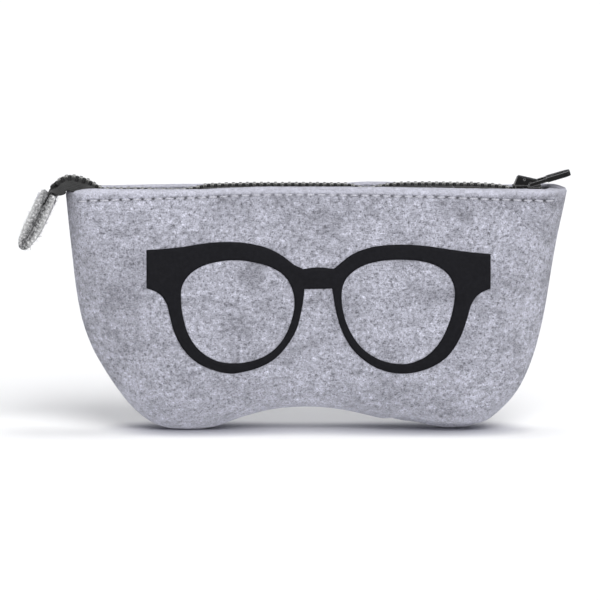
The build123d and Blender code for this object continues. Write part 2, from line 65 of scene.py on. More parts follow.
# ------------------------------------------------------------------ meshes
def mesh_object(name, verts, faces, weights=None, outward=True):
    """Smooth-shaded object from vertices in mm; weights are float attributes by name."""
    mesh = bpy.data.meshes.new(name)
    mesh.from_pydata([tuple(p) for p in np.asarray(verts, dtype=float) * MM], [],
                     [tuple(int(i) for i in face) for face in faces])
    mesh.validate()
    mesh.update()
    mesh.polygons.foreach_set("use_smooth", [True] * len(mesh.polygons))
    ob = bpy.data.objects.new(name, mesh)
    bpy.context.scene.collection.objects.link(ob)
    for weight, values in (weights or {}).items():
        layer = mesh.attributes.new(weight, "FLOAT", "POINT")
        layer.data.foreach_set("value", np.asarray(values, np.float32))
    if outward:
        shell = bmesh.new()
        shell.from_mesh(mesh)
        bmesh.ops.recalc_face_normals(shell, faces=shell.faces)
        shell.to_mesh(mesh)
        shell.free()
        mesh.update()
    return ob


def dress(ob, material, body=None, replaced=()):
    ob.data.materials.clear()
    ob.data.materials.append(material)
    if replaced:
        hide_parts(*replaced)
    if body:
        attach(ob, body)


def join_parts(parts):
    """One (vertices, faces) pair out of many."""
    faces, count = [], 0
    for part_verts, part_faces in parts:
        faces += [tuple(i + count for i in face) for face in part_faces]
        count += len(part_verts)
    return np.vstack([verts for verts, _ in parts]), faces


def ring_faces(rings, sides):
    """Quads between successive closed rings of vertices."""
    faces = []
    for i in range(rings - 1):
        for k in range(sides):
            here, after = i * sides, (k + 1) % sides
            faces.append((here + k, here + after, here + sides + after, here + sides + k))
    return faces


def tube(path, radii, sides):
    """Capped tube along a list of points, with one radius per point."""
    path = np.asarray(path, float)
    tangents = np.gradient(path, axis=0)
    tangents /= np.linalg.norm(tangents, axis=1)[:, None] + 1e-12
    up = np.array([0.0, 0.0, 1.0] if abs(tangents[0][2]) < 0.9 else [0.0, 1.0, 0.0])
    verts = []
    for point, tangent, radius in zip(path, tangents, radii):
        across = np.cross(tangent, up)
        across /= np.linalg.norm(across) + 1e-12
        up = np.cross(across, tangent)
        for k in range(sides):
            turn = 2 * math.pi * k / sides
            verts.append(point + radius * (math.cos(turn) * across + math.sin(turn) * up))
    last = (len(path) - 1) * sides
    faces = ring_faces(len(path), sides)
    faces.append(tuple(range(sides - 1, -1, -1)))
    faces.append(tuple(last + k for k in range(sides)))
    return np.array(verts), faces


# ------------------------------------------------------------------ curves and falloffs
def run_length(points):
    """Distance along a polyline at each of its points."""
    return np.r_[0, np.cumsum(np.linalg.norm(np.diff(points, axis=0), axis=1))]


def at_length(points, lengths, where):
    """Points of a polyline at the given lengths."""
    return np.stack([np.interp(where, lengths, column) for column in points.T], axis=-1)


def curve_points(points, count):
    """Smooth curve through the points (cubic Hermite), sampled evenly by length."""
    points = np.asarray(points, float)
    knots = run_length(points)
    slopes = np.zeros_like(points)
    slopes[1:-1] = (points[2:] - points[:-2]) / (knots[2:] - knots[:-2])[:, None]
    slopes[0] = (points[1] - points[0]) / (knots[1] - knots[0])
    slopes[-1] = (points[-1] - points[-2]) / (knots[-1] - knots[-2])
    where = np.linspace(0, knots[-1], max(count * 6, 200))
    k = np.clip(np.searchsorted(knots, where, side="right") - 1, 0, len(points) - 2)
    span = (knots[k + 1] - knots[k])[:, None]
    part = ((where - knots[k])[:, None]) / span
    curve = ((2 * part**3 - 3 * part**2 + 1) * points[k]
             + (part**3 - 2 * part**2 + part) * span * slopes[k]
             + (-2 * part**3 + 3 * part**2) * points[k + 1]
             + (part**3 - part**2) * span * slopes[k + 1])
    lengths = run_length(curve)
    return at_length(curve, lengths, np.linspace(0, lengths[-1], count))


def smoothstep(value):
    value = np.clip(value, 0, 1)
    return value * value * (3 - 2 * value)


def ramp_up(value, start, span):
    """0 up to start, then a smooth rise to 1 over the span."""
    return smoothstep((value - start) / span)


def ramp_down(value, end, span):
    """1, falling smoothly over the span to 0 at end."""
    return smoothstep((end - value) / span)


def bell(offset, width):
    return np.exp(-(offset / width) ** 2)


def smooth_noise(points, *layers):
    """Sum of noises at points (mm); a layer is (feature size, seed, octaves, amplitude)."""
    total = 0
    for size, seed, octaves, amplitude in layers:
        values = np.empty(len(points))
        for i, (x, y, z) in enumerate(points):
            place = Vector((x / size + seed, y / size + 3.1 * seed, z / size - seed))
            values[i] = noise.fractal(place, 1.0, 2.0, octaves)
        total = total + values * amplitude
    return total


# ------------------------------------------------------------------ materials
def rgba(colour):
    """Opaque colour from a grey level or an (r, g, b) triple."""
    if np.isscalar(colour):
        colour = (colour,) * 3
    return (*map(float, colour), 1.0)


class Shader:
    """A Principled material's node tree, textured in object space (scales are per metre)."""

    def __init__(self, name):
        self.material = bpy.data.materials.new(name)
        self.material.use_nodes = True
        self.tree = self.material.node_tree
        self.tree.nodes.clear()
        output = self.new("ShaderNodeOutputMaterial")
        self.principled = self.new("ShaderNodeBsdfPrincipled")
        self.tree.links.new(self.principled.outputs[0], output.inputs[0])
        self.coord = self.new("ShaderNodeTexCoord").outputs["Object"]

    def new(self, kind, **settings):
        node = self.tree.nodes.new(kind)
        for key, value in settings.items():
            setattr(node, key, value)
        return node

    def feed(self, socket, value):
        """Link a socket's output in, or set a plain value."""
        if isinstance(value, bpy.types.NodeSocket):
            self.tree.links.new(value, socket)
        else:
            socket.default_value = value

    def mapping(self, rot=(0, 0, 0), scale=(1, 1, 1), loc=(0, 0, 0)):
        node = self.new("ShaderNodeMapping")
        for key, value in (("Rotation", rot), ("Scale", scale), ("Location", loc),
                           ("Vector", self.coord)):
            self.feed(node.inputs[key], value)
        return node.outputs[0]

    def noise(self, scale, detail=2.0, rough=0.5, vec=None, distortion=0.0):
        node = self.new("ShaderNodeTexNoise")
        for key, value in (("Scale", scale), ("Detail", detail), ("Roughness", rough),
                           ("Distortion", distortion), ("Vector", vec or self.coord)):
            self.feed(node.inputs[key], value)
        return node.outputs["Fac"]

    def math(self, operation, *values, clamp=False):
        node = self.new("ShaderNodeMath", operation=operation, use_clamp=clamp)
        for i, value in enumerate(values):
            self.feed(node.inputs[i], value)
        return node.outputs[0]

    def plus(self, a, b):
        return self.math("ADD", a, b)

    def minus(self, a, b, clamp=False):
        return self.math("SUBTRACT", a, b, clamp=clamp)

    def times(self, a, b, clamp=False):
        return self.math("MULTIPLY", a, b, clamp=clamp)

    def highest(self, a, b):
        return self.math("MAXIMUM", a, b)

    def ramp(self, factor, *stops):
        """Colour ramp; each stop is (position, grey level or colour)."""
        node = self.new("ShaderNodeValToRGB")
        elements = node.color_ramp.elements
        while len(elements) > 1:
            elements.remove(elements[-1])
        for i, (position, colour) in enumerate(stops):
            element = elements[0] if i == 0 else elements.new(position)
            element.position = position
            element.color = rgba(colour)
        self.feed(node.inputs["Fac"], factor)
        return node.outputs["Color"]

    def mix(self, factor, first, second, blend="MIX"):
        node = self.new("ShaderNodeMix", data_type="RGBA", blend_type=blend)
        self.feed(node.inputs[0], factor)
        for i, colour in ((6, first), (7, second)):
            is_socket = isinstance(colour, bpy.types.NodeSocket)
            self.feed(node.inputs[i], colour if is_socket else rgba(colour))
        return node.outputs[2]

    def shade(self, amount, colour, factor, *stops):
        """Multiply a colour by a ramp of brightness."""
        return self.mix(amount, colour, self.ramp(factor, *stops), "MULTIPLY")

    def bump(self, height, strength, distance):
        node = self.new("ShaderNodeBump")
        for key, value in (("Strength", strength), ("Distance", distance), ("Height", height)):
            self.feed(node.inputs[key], value)
        return node.outputs["Normal"]

    def attribute(self, name):
        return self.new("ShaderNodeAttribute", attribute_name=name).outputs["Fac"]

    def position(self):
        """The object-space x, y and z outputs."""
        node = self.new("ShaderNodeSeparateXYZ")
        self.feed(node.inputs[0], self.coord)
        return node.outputs

    def edge_mask(self, radius, low, high):
        """1 on edges and rims, 0 on flat faces; low and high bound the bend that counts."""
        bevel = self.new("ShaderNodeBevel", samples=6)
        bevel.inputs["Radius"].default_value = radius
        geometry = self.new("ShaderNodeNewGeometry")
        dot = self.new("ShaderNodeVectorMath", operation="DOT_PRODUCT")
        self.feed(dot.inputs[0], bevel.outputs[0])
        self.feed(dot.inputs[1], geometry.outputs["True Normal"])
        bend = self.minus(1.0, dot.outputs["Value"])
        mask = self.times(self.minus(bend, low), 1.0 / (high - low), clamp=True)
        return self.math("SMOOTH_MAX", 0.0, mask, 0.0)

    def surface(self, **inputs):
        """Fill in the Principled inputs and return the material."""
        for key, value in inputs.items():
            self.feed(self.principled.inputs[key.replace("_", " ")], value)
        return self.material


# rotations of the felt's five sets of fibres
FIBRE_TURNS = ((0.2, 0.35, 0.1), (0.1, 1.15, 0.6), (0.9, -0.75, 0.2), (0.3, 2.2, 1.4),
               (0.5, -0.2, 0.7))


def felt_material():
    """Wool felt: light grey with darker and lighter fibres in drifting clouds."""
    mat = Shader("felt_heather_grey")
    base = np.array((0.457, 0.459, 0.530))
    contrast = 1.65

    def boost(level):
        """A brightness factor pushed away from 1 by the contrast."""
        return 1 + (level - 1) * contrast

    clouds = mat.noise(scale=62, detail=3, rough=0.6)
    drift = mat.noise(scale=205, detail=3, rough=0.66,
                      vec=mat.mapping(rot=(0.3, 0.5, 0.2), scale=(1.0, 1.0, 1.5)))
    grain = mat.noise(scale=760, detail=3, rough=0.70)
    specks = mat.noise(scale=2100, detail=2, rough=0.65)
    fibres = []
    thinness = 15.0         # narrows the noise's mid level to a line
    for i, turn in enumerate(FIBRE_TURNS):
        stretched = mat.mapping(rot=turn, scale=(420, 2100, 2100), loc=(i * 0.37, i * 0.11, 0))
        fibre = mat.noise(scale=1.0, detail=1.0, vec=stretched, distortion=0.8)
        fibre = mat.math("ABSOLUTE", mat.minus(fibre, 0.5))
        fibres.append(mat.minus(1.0, mat.times(fibre, thinness), clamp=True))
    dark = mat.highest(mat.highest(fibres[0], fibres[1]), fibres[4])
    dark = mat.times(dark, mat.ramp(drift, (0.40, 0.25), (0.62, 1.0)))
    dark = mat.times(dark, mat.ramp(clouds, (0.42, 0.35), (0.60, 1.0)))
    light = mat.highest(fibres[2], mat.times(fibres[3], 0.8))

    colour = mat.ramp(clouds, (0.28, base * boost(1.10)), (0.5, base), (0.72, base * boost(0.85)))
    colour = mat.shade(0.9, colour, drift, (0.30, 1.14), (0.5, 1.0), (0.70, 0.76))
    colour = mat.shade(0.95, colour, grain, (0.30, boost(0.50)), (0.44, boost(0.91)),
                       (0.56, boost(1.08)), (0.74, boost(1.42)))
    colour = mat.shade(0.95, colour, specks, (0.30, boost(0.45)), (0.43, boost(0.96)),
                       (0.60, boost(1.04)), (0.74, boost(1.45)))
    colour = mat.mix(mat.times(dark, 0.62), colour, base * 0.30)
    colour = mat.mix(mat.times(light, 0.30), colour, np.minimum(base * 1.6, 0.9))
    # painted shade from the dark attribute (stitch holes) and painted light from the light
    # attribute (crest, fold, low seam)
    colour = mat.mix(mat.attribute("dark"), colour, base * 0.12)
    colour = mat.mix(mat.times(mat.attribute("light"), 0.55), colour,
                     np.minimum(base * 1.62, 0.85))

    height = mat.plus(mat.times(grain, 0.6), mat.times(specks, 0.35))
    height = mat.plus(height, mat.times(mat.highest(dark, light), 0.25))
    height = mat.plus(height, mat.times(drift, 0.5))
    return mat.surface(Base_Color=colour, Roughness=0.95,
                       Normal=mat.bump(height, strength=0.9, distance=0.0008),
                       Sheen_Weight=0.2, Sheen_Roughness=0.5, Specular_IOR_Level=0.12)


def heather_material():
    """Heather felt: near-white and near-black fibre ends side by side."""
    mat = Shader("felt_tab_heather")
    salt = mat.noise(scale=1050, detail=3, rough=0.72)
    fine = mat.noise(scale=2300, detail=2, rough=0.6)
    colour = mat.ramp(salt, (0.40, (0.035, 0.035, 0.037)), (0.47, (0.17, 0.17, 0.172)),
                      (0.54, (0.42, 0.42, 0.425)), (0.62, 0.78))
    colour = mat.shade(0.9, colour, fine, (0.34, 0.55), (0.5, 1.0), (0.66, 1.35))
    # painted shade from the dark attribute (slit) and painted light from the light attribute (outer
    # rims)
    colour = mat.mix(mat.attribute("dark"), colour, (0.05, 0.05, 0.052))
    colour = mat.mix(mat.times(mat.attribute("light"), 0.6), colour, 0.80)
    height = mat.plus(salt, mat.times(fine, 0.5))
    return mat.surface(Base_Color=colour, Roughness=0.95,
                       Normal=mat.bump(height, strength=0.9, distance=0.0008),
                       Sheen_Weight=0.3, Specular_IOR_Level=0.1)


def film_material():
    """Matt black print."""
    mat = Shader("print_film_black")
    colour = mat.ramp(mat.noise(scale=700, detail=3), (0.3, (0.0070, 0.0070, 0.0088)),
                      (0.7, (0.0098, 0.0098, 0.0122)))
    height = mat.plus(mat.noise(scale=600, detail=3, rough=0.6),
                      mat.times(mat.noise(scale=2200, detail=2), 0.4))
    roughness = mat.plus(0.56, mat.times(mat.noise(scale=300, detail=2), 0.12))
    return mat.surface(Base_Color=colour, Roughness=roughness,
                       Normal=mat.bump(height, strength=0.35, distance=0.0003),
                       Specular_IOR_Level=0.07)


def tape_material():
    """Woven tape: ribs running lengthwise, crossed by picks."""
    mat = Shader("tape_woven")
    base = 0.020
    rib_pitch, pick_pitch = 0.00075, 0.00055
    slope = 0.8             # how far the picks also step with height
    place = mat.position()
    ribs = mat.math("SINE", mat.times(place["Y"], 2 * math.pi / rib_pitch))
    along = mat.plus(place["X"], mat.times(place["Z"], slope))
    picks = mat.math("SINE", mat.times(along, 2 * math.pi / pick_pitch))
    weave = mat.plus(mat.times(ribs, 0.5), mat.times(mat.times(picks, ribs), 0.5))
    height = mat.plus(mat.times(weave, 0.5), 0.5)
    colour = mat.ramp(height, (0.05, base * 0.45), (0.5, base), (0.95, base * 1.75))
    colour = mat.shade(0.6, colour, mat.noise(scale=900, detail=3), (0.3, 0.7), (0.7, 1.25))
    return mat.surface(Base_Color=colour, Roughness=0.82,
                       Normal=mat.bump(height, strength=0.6, distance=0.00025),
                       Sheen_Weight=0.15, Specular_IOR_Level=0.3)


def teeth_material():
    """Gunmetal teeth with a painted highlight on the heads' edges; the legs stay dark."""
    mat = Shader("teeth_gunmetal")
    head_reach, head_fade = 0.0011, 1100.0      # y where the head ends, and its falloff per metre
    glint = 1.0
    colour = mat.ramp(mat.noise(scale=420, detail=3), (0.3, 0.008), (0.7, 0.018))
    beyond = mat.minus(mat.math("ABSOLUTE", mat.position()["Y"]), head_reach)
    head = mat.minus(1.0, mat.times(beyond, head_fade, clamp=True), clamp=True)
    # painted highlight on the edges of the teeth's heads
    edges = mat.times(mat.edge_mask(radius=0.00040, low=0.006, high=0.06), head)
    colour = mat.mix(mat.times(edges, glint), colour, (0.66, 0.66, 0.64))
    roughness = mat.plus(0.24, mat.times(mat.noise(scale=800, detail=3), 0.14))
    fine = mat.noise(scale=1500, detail=2)
    return mat.surface(Base_Color=colour, Roughness=roughness, Metallic=0.25,
                       Normal=mat.bump(fine, strength=0.12, distance=0.0001),
                       Specular_IOR_Level=0.35)


def lacquer_material():
    """Black lacquer with painted highlights along its edges."""
    mat = Shader("slider_black_lacquer")
    colour = mat.ramp(mat.noise(scale=500, detail=4, rough=0.6),
                      (0.3, 0.0060), (0.72, 0.0100), (0.86, 0.022))
    # painted highlight along the slider's edges
    edges = mat.edge_mask(radius=0.00032, low=0.010, high=0.08)
    colour = mat.mix(mat.times(edges, 0.80), colour, 0.38)
    roughness = mat.plus(0.22, mat.times(mat.noise(scale=900, detail=3), 0.18))
    ripple = mat.noise(scale=700, detail=3)
    return mat.surface(Base_Color=colour, Roughness=roughness,
                       Normal=mat.bump(ripple, strength=0.1, distance=0.0002),
                       Specular_IOR_Level=0.09, Coat_Weight=0.04, Coat_Roughness=0.12)


def thread_material(name, base):
    mat = Shader(name)
    base = np.array(base)
    twist = mat.noise(scale=1.0, detail=2,
                      vec=mat.mapping(rot=(0, 0.6, 0.4), scale=(2600, 900, 2600)))
    colour = mat.ramp(twist, (0.3, base * 0.72), (0.6, base * 1.18))
    return mat.surface(Base_Color=colour, Roughness=0.7,
                       Normal=mat.bump(twist, strength=0.5, distance=0.0001), Sheen_Weight=0.2)


def steel_material():
    """Steel brushed along x."""
    mat = Shader("spring_steel_brushed")
    brush = mat.noise(scale=1.0, detail=3, vec=mat.mapping(scale=(300, 3000, 3000)))
    return mat.surface(Base_Color=mat.ramp(brush, (0.3, 0.35), (0.7, 0.5)), Roughness=0.34,
                       Metallic=1.0, Normal=mat.bump(brush, strength=0.15, distance=0.0001))


def floor_material():
    """Pale floor with a painted contact shadow, darkened only to the camera where something stands
    on it.
    """
    mat = Shader("floor_pale")
    colour = mat.ramp(mat.noise(scale=3, detail=2), (0.4, 0.938), (0.6, 0.942))
    # painted contact shadow: ambient occlusion darkens the floor's colour for camera rays only
    occlusion = mat.new("ShaderNodeAmbientOcclusion", samples=8)
    occlusion.inputs["Distance"].default_value = 0.016
    seen = mat.new("ShaderNodeLightPath").outputs["Is Camera Ray"]
    colour = mat.shade(seen, colour, occlusion.outputs["AO"], (0.30, (0.30, 0.30, 0.34)),
                       (0.62, (0.62, 0.62, 0.66)), (0.93, 1.0))
    return mat.surface(Base_Color=colour, Roughness=0.9, Specular_IOR_Level=0.0)


felt = felt_material()
tab_felt = heather_material()
print_film = film_material()
tape = tape_material()
gunmetal = teeth_material()
lacquer = lacquer_material()
thread = thread_material("thread_grey", base=(0.50, 0.50, 0.55))
steel = steel_material()
loose_fibre = thread_material("loose_fibre", base=(0.60, 0.60, 0.64))
stray_hair = thread_material("stray_hair", base=(0.20, 0.20, 0.22))

# ------------------------------------------------------------------ the pouch's felt
# seam outline (x, z), from the top right down, along the bottom and up to the top left
OUTLINE = [
    (95.2, 92.6), (93.6, 84.5), (92.0, 76.5), (90.2, 66.0), (88.6, 55.5), (87.0, 45.5),
    (85.2, 37.0), (83.2, 29.5), (80.3, 21.6), (76.6, 14.6), (71.6, 8.6), (65.6, 3.6),
    (59.0, 0.6), (52.0, 0.0), (45.5, 0.5), (39.0, 2.0), (31.0, 3.0), (23.0, 4.6),
    (15.5, 6.4), (7.5, 7.9), (-0.5, 8.6), (-9.0, 8.5), (-17.5, 7.5), (-25.5, 5.5),
    (-32.5, 3.2), (-38.5, 1.0), (-44.5, 0.1), (-51.0, 0.0), (-57.5, 0.7), (-63.8, 3.3),
    (-70.4, 8.8), (-76.2, 16.2), (-81.0, 23.7), (-85.5, 32.0), (-89.0, 42.0), (-91.2, 53.5),
    (-92.6, 66.0), (-93.9, 79.0), (-95.0, 91.4)]
# places in OUTLINE of the panel grid's corners
TOP_RIGHT, BOTTOM_RIGHT, BOTTOM_LEFT, TOP_LEFT = 0, 8, 31, 38
# crests of the folded hems (x, z)
FRONT_CREST = [
    (-95.0, 91.5), (-92.5, 92.0), (-90.3, 92.5), (-87.5, 93.05), (-82.0, 93.3), (-60.0, 93.1),
    (-45.0, 93.15), (-33.0, 93.6), (-22.0, 94.0), (0.0, 94.05), (16.0, 94.0), (45.0, 93.65),
    (66.0, 93.3), (88.0, 93.2), (95.2, 92.6)]
BACK_CREST = [
    (-95.0, 91.6), (-92.5, 92.4), (-88.0, 92.7), (-72.0, 92.9), (-56.0, 93.3), (-45.0, 93.3),
    (0.0, 93.4), (12.0, 93.7), (18.0, 94.2), (28.0, 94.1), (36.0, 93.5), (60.0, 93.3),
    (80.0, 93.0), (88.0, 93.6), (91.5, 93.6), (95.2, 92.6)]
# stitch line of the hems (x, z)
STITCH_LINE = np.array([
    (-95, 88.2), (-86, 88.9), (-82, 89.1), (-46, 90.1), (-22, 91.2), (0, 91.25), (16, 91.0),
    (45, 90.4), (66, 89.5), (88, 88.9), (95, 88.7)])
FOLD_HEIGHT = 0.9           # rise of the fold above the panel's top row
FOLD_ROWS = 11
BELLY_DEPTH = 15.0          # half depth at the fullest height
BELLY_HEIGHT = 45.0
BELLY_RADIUS = 237.0        # of the side profile's arc
EDGE_ROUND = 4.1            # depth of the rounding along the seam
EDGE_STEP = 0.12            # depth gained right beside the seam
LEAST_GAP = 0.06            # inner faces stay this far from the middle plane
HEM_INNER = 5.75            # y where the hem's inside lies against the zip tape
PANEL_THICKNESS = 2.35
STITCH_PITCH = 4.1
STITCH_END = 90             # holes and stitches stop at this x
STITCH_PULL = 0.42          # the thread draws the hem in
HEM_RIDGE = 0.35
SOFT_UNEVENNESS = ((34.0, 1.3, 2, 0.55), (12.0, 4.2, 2, 0.16))
FELT_ROUGHNESS = ((2.6, 2.2, 3, 0.10), (0.95, 8.2, 2, 0.045))

# grid parameters: columns crowd the left and right ends, rows crowd the bottom and the hem
COLUMNS = 470
even = np.linspace(0, 1, COLUMNS)
across = even - 0.62 * np.sin(2 * math.pi * even) / (2 * math.pi)
upward = np.concatenate([
    [0, .0012, .003, .0055, .009, .0135, .019, .026, .034, .043, .053],
    np.linspace(.064, .90, 104),
    np.linspace(.905, .999, 26),
    [1.0]])

seam_points = curve_points(OUTLINE, 1400)[::2]


def edge_distance(x, z):
    """Distance in the xz plane to the seam outline."""
    points = np.stack([x, z], axis=-1).reshape(-1, 2)
    starts = seam_points[:-1]
    chords = seam_points[1:] - starts
    squared = (chords ** 2).sum(1)
    nearest = np.empty(len(points))
    batch = 4000            # limits the memory used
    for first in range(0, len(points), batch):
        chunk = points[first:first + batch]
        part = ((chunk[:, None, :] - starts[None]) * chords[None]).sum(2) / squared[None]
        part = np.clip(part, 0, 1)
        feet = starts[None] + part[..., None] * chords[None]
        gaps = np.sqrt(((chunk[:, None, :] - feet) ** 2).sum(2))
        nearest[first:first + batch] = gaps.min(1)
    return nearest.reshape(np.shape(x))


def outer_depth(z, seam):
    """Half depth of the felt's outer face; seam is the distance from the seam."""
    belly = BELLY_DEPTH - BELLY_RADIUS + np.sqrt(BELLY_RADIUS ** 2 - (z - BELLY_HEIGHT) ** 2)
    # the slope up to the belly is 34 mm wide low down and 11 mm near the top
    slope_width = 34.0 + (11.0 - 34.0) * ramp_up(z, 40.0, 46.0)
    fullness = 1 - (1 - np.clip(seam / slope_width, 0, 1)) ** 2.5
    part = np.clip(seam / 4.3, 0, 1)
    rounding = EDGE_ROUND * np.sqrt(np.clip(1 - (1 - part) ** 2, 0, 1))
    # the two halves touch along the seam itself
    return (np.clip(0.52 * seam - 0.01, -0.01, EDGE_STEP) + rounding
            + (belly - (EDGE_ROUND + EDGE_STEP)) * fullness)


def face_noise(x, z, side, layers):
    points = np.stack([x.ravel(), np.full(x.size, 40.0 * side), z.ravel()], 1)
    return smooth_noise(points, *layers).reshape(x.shape)


def stuffed_depth(x, z, seam, side):
    """Outer depth with the soft unevenness of stuffed felt, vanishing at the seam."""
    soft = face_noise(x, z, side, SOFT_UNEVENNESS)
    return outer_depth(z, seam) + soft * smoothstep(seam / 14.0)


def stitch_z(x):
    return np.interp(x, STITCH_LINE[:, 0], STITCH_LINE[:, 1])


def outline_part(start, end, where):
    """Outline between two of its corners, sampled at fractions of its length."""
    curve = curve_points(OUTLINE, 3000)
    first, last = (int(np.argmin(((curve - np.array(OUTLINE[i])) ** 2).sum(1)))
                   for i in (start, end))
    part = curve[min(first, last):max(first, last) + 1]
    if first > last:
        part = part[::-1]
    lengths = run_length(part)
    return at_length(part, lengths / lengths[-1], where)


bottom_edge = outline_part(BOTTOM_LEFT, BOTTOM_RIGHT, across)
left_edge = outline_part(BOTTOM_LEFT, TOP_LEFT, upward)
right_edge = outline_part(BOTTOM_RIGHT, TOP_RIGHT, upward)


def panel_grid(crest):
    """Coons patch between the outline and a crest: x, z and distance from the seam."""
    curve = curve_points([(x, z - FOLD_HEIGHT) for x, z in crest], 3000)
    lengths = run_length(curve)
    top = at_length(curve, lengths / lengths[-1], across)
    bottom = bottom_edge
    # bend the upper part of the side edges to meet the crest's ends
    bend = ramp_up(upward, 0.6, 0.4)[:, None]
    left = left_edge + bend * (top[0] - left_edge[-1])
    right = right_edge + bend * (top[-1] - right_edge[-1])
    along, up = (grid[..., None] for grid in np.meshgrid(across, upward))
    grid = ((1 - up) * bottom[None] + up * top[None]
            + (1 - along) * left[:, None] + along * right[:, None]
            - (1 - along) * (1 - up) * bottom[0] - along * (1 - up) * bottom[-1]
            - (1 - along) * up * top[0] - along * up * top[-1])
    seam = edge_distance(grid[..., 0], grid[..., 1])
    seam[0, :] = 0
    seam[:, 0] = 0
    seam[:, -1] = 0
    return grid[..., 0], grid[..., 1], seam


def hem_inner(outer, x, thickness):
    """Half depth of the hem's inside; the two sides close up towards the right end."""
    inner = np.minimum(HEM_INNER, np.maximum(LEAST_GAP, outer - thickness))
    return LEAST_GAP + (inner - LEAST_GAP) * (1 - 0.9 * ramp_up(x, 86.2, 2.6))


def fold_rows(top, side):
    """Rows over the top of the hem, from its outer face to its inner one."""
    x = top[:, 0]
    outer = np.abs(top[:, 1])
    inner = hem_inner(outer, x, 4.2)
    middle, half = (outer + inner) / 2, (outer - inner) / 2
    wobble = smooth_noise(np.stack([x, top[:, 1], top[:, 2] * 0], 1), (9.0, 5.0, 2, 0.16))
    rows = []
    for degrees in np.linspace(12, 168, FOLD_ROWS):
        turn = math.radians(degrees)
        z = (top[:, 2] + FOLD_HEIGHT * np.minimum(1, half / 1.2) * math.sin(turn)
             + wobble * math.sin(turn))
        z += smooth_noise(np.stack([x, np.full(COLUMNS, degrees), z], 1), (1.2, 9.0, 2, 0.06))
        rows.append(np.stack([x, side * (middle + half * math.cos(turn)), z], 1))
    return rows


def inside_rows(x, z, seam, depth, side):
    """Rows down the inside of the hem, then down the inner face of the panel."""
    rows = []
    for i in np.flatnonzero(upward > 0.905)[::-1][1::3]:
        rows.append(np.stack([x[i], side * hem_inner(depth[i], x[i], 4.3), z[i]], 1))
    for i in np.flatnonzero(upward < 0.90)[::-1][::2]:
        inner = np.clip(outer_depth(z[i], seam[i]) - PANEL_THICKNESS, LEAST_GAP, None)
        share = np.clip((seam[i] - 2.2) / 3.0, 0, 1)
        inner = inner * share + LEAST_GAP * (1 - share)
        lift = 2.2 * np.exp(-seam[i] / 3.0) * ramp_down(z[i], 40, 20)
        rows.append(np.stack([x[i], side * inner, z[i] + lift], 1))
    return rows


def panel_faces(verts, rows, side):
    """Quads round the outer and inner faces, and triangles closing both ends."""
    faces = []
    for i in range(rows):
        for j in range(COLUMNS - 1):
            here, after = i * COLUMNS + j, (i + 1) % rows * COLUMNS + j
            if side < 0:
                faces.append((here, here + 1, after + 1, after))
            else:
                faces.append((here, after, after + 1, here + 1))
    for j in (0, COLUMNS - 1):
        loop = [i * COLUMNS + j for i in range(rows)]
        # walk up the outer and the inner chain together
        low, high = 0, rows - 1
        while high - low > 1:
            if verts[loop[low + 1]][2] <= verts[loop[high - 1]][2]:
                triangle = (loop[low], loop[low + 1], loop[high])
                low += 1
            else:
                triangle = (loop[low], loop[high - 1], loop[high])
                high -= 1
            faces.append(triangle if (side < 0) == (j == 0) else triangle[::-1])
    return faces


def felt_half(side, name, crest):
    x, z, seam = panel_grid(crest)
    depth = stuffed_depth(x, z, seam, side)
    depth = depth + face_noise(x, z, side, FELT_ROUGHNESS) * smoothstep(seam / 1.2)
    # the stitch line, its holes, and the ridges of the hem
    line = stitch_z(x)
    in_hem = ramp_up(seam, 2.0, 4.0)
    depth = depth - STITCH_PULL * bell(z - line, 0.75) * in_hem
    from_hole = x - STITCH_PITCH * np.round(x / STITCH_PITCH)
    holes = np.exp(-((from_hole / 0.92) ** 2 + ((z - line) / 0.52) ** 2))
    holes = holes * in_hem * (np.abs(x) < STITCH_END)
    depth = depth - 0.75 * holes
    depth = depth + (HEM_RIDGE * ramp_up(z, 83.5, 1.6)
                     + HEM_RIDGE * bell(z - 91.3, 1.3)) * in_hem
    # at the right lobe the back half's edge rolls under the front half
    lobe = ramp_up(x, 24, 10) * ramp_down(x, 66, 10)
    if side < 0:
        roll = np.exp(-seam / 3.0) * lobe
        outer_z = z + 2.5 * roll
        outer_y = side * depth - 2.6 * roll
    else:
        outer_z = z + 2.4 * bell(seam, 0.55) * lobe - 0.9 * seam * bell(seam, 3.0) * lobe
        outer_y = side * depth - 2.6 * bell(seam, 1.7) * lobe
    outer_z = np.maximum(outer_z, 0.02)

    rows = list(np.stack([x, outer_y, outer_z], axis=-1))
    rows += fold_rows(rows[-1], side)
    rows += inside_rows(x, z, seam, depth, side)
    # painted shade in the stitch holes; painted light along the crest, over the fold and along the
    # low seam
    outside = len(upward)
    dark, light = np.zeros((2, len(rows), COLUMNS))
    dark[:outside] = holes * (0.85 if side < 0 else 0.8)
    light[:outside] = np.clip(bell(outer_z - 92.6, 1.45) * 0.95
                              + np.exp(-seam / 3.2) * ramp_down(z, 22, 14) * 0.8, 0, 1)
    light[outside:outside + FOLD_ROWS] = 0.95
    verts = np.vstack(rows)
    ob = mesh_object("felt_" + name, verts, panel_faces(verts, len(rows), side),
                     weights={"dark": dark.ravel(), "light": light.ravel()})
    dress(ob, felt, body="pouch", replaced=[name + "_panel"])
    return ob


felt_front = felt_half(-1, "front", FRONT_CREST)
felt_back = felt_half(1, "back", BACK_CREST)

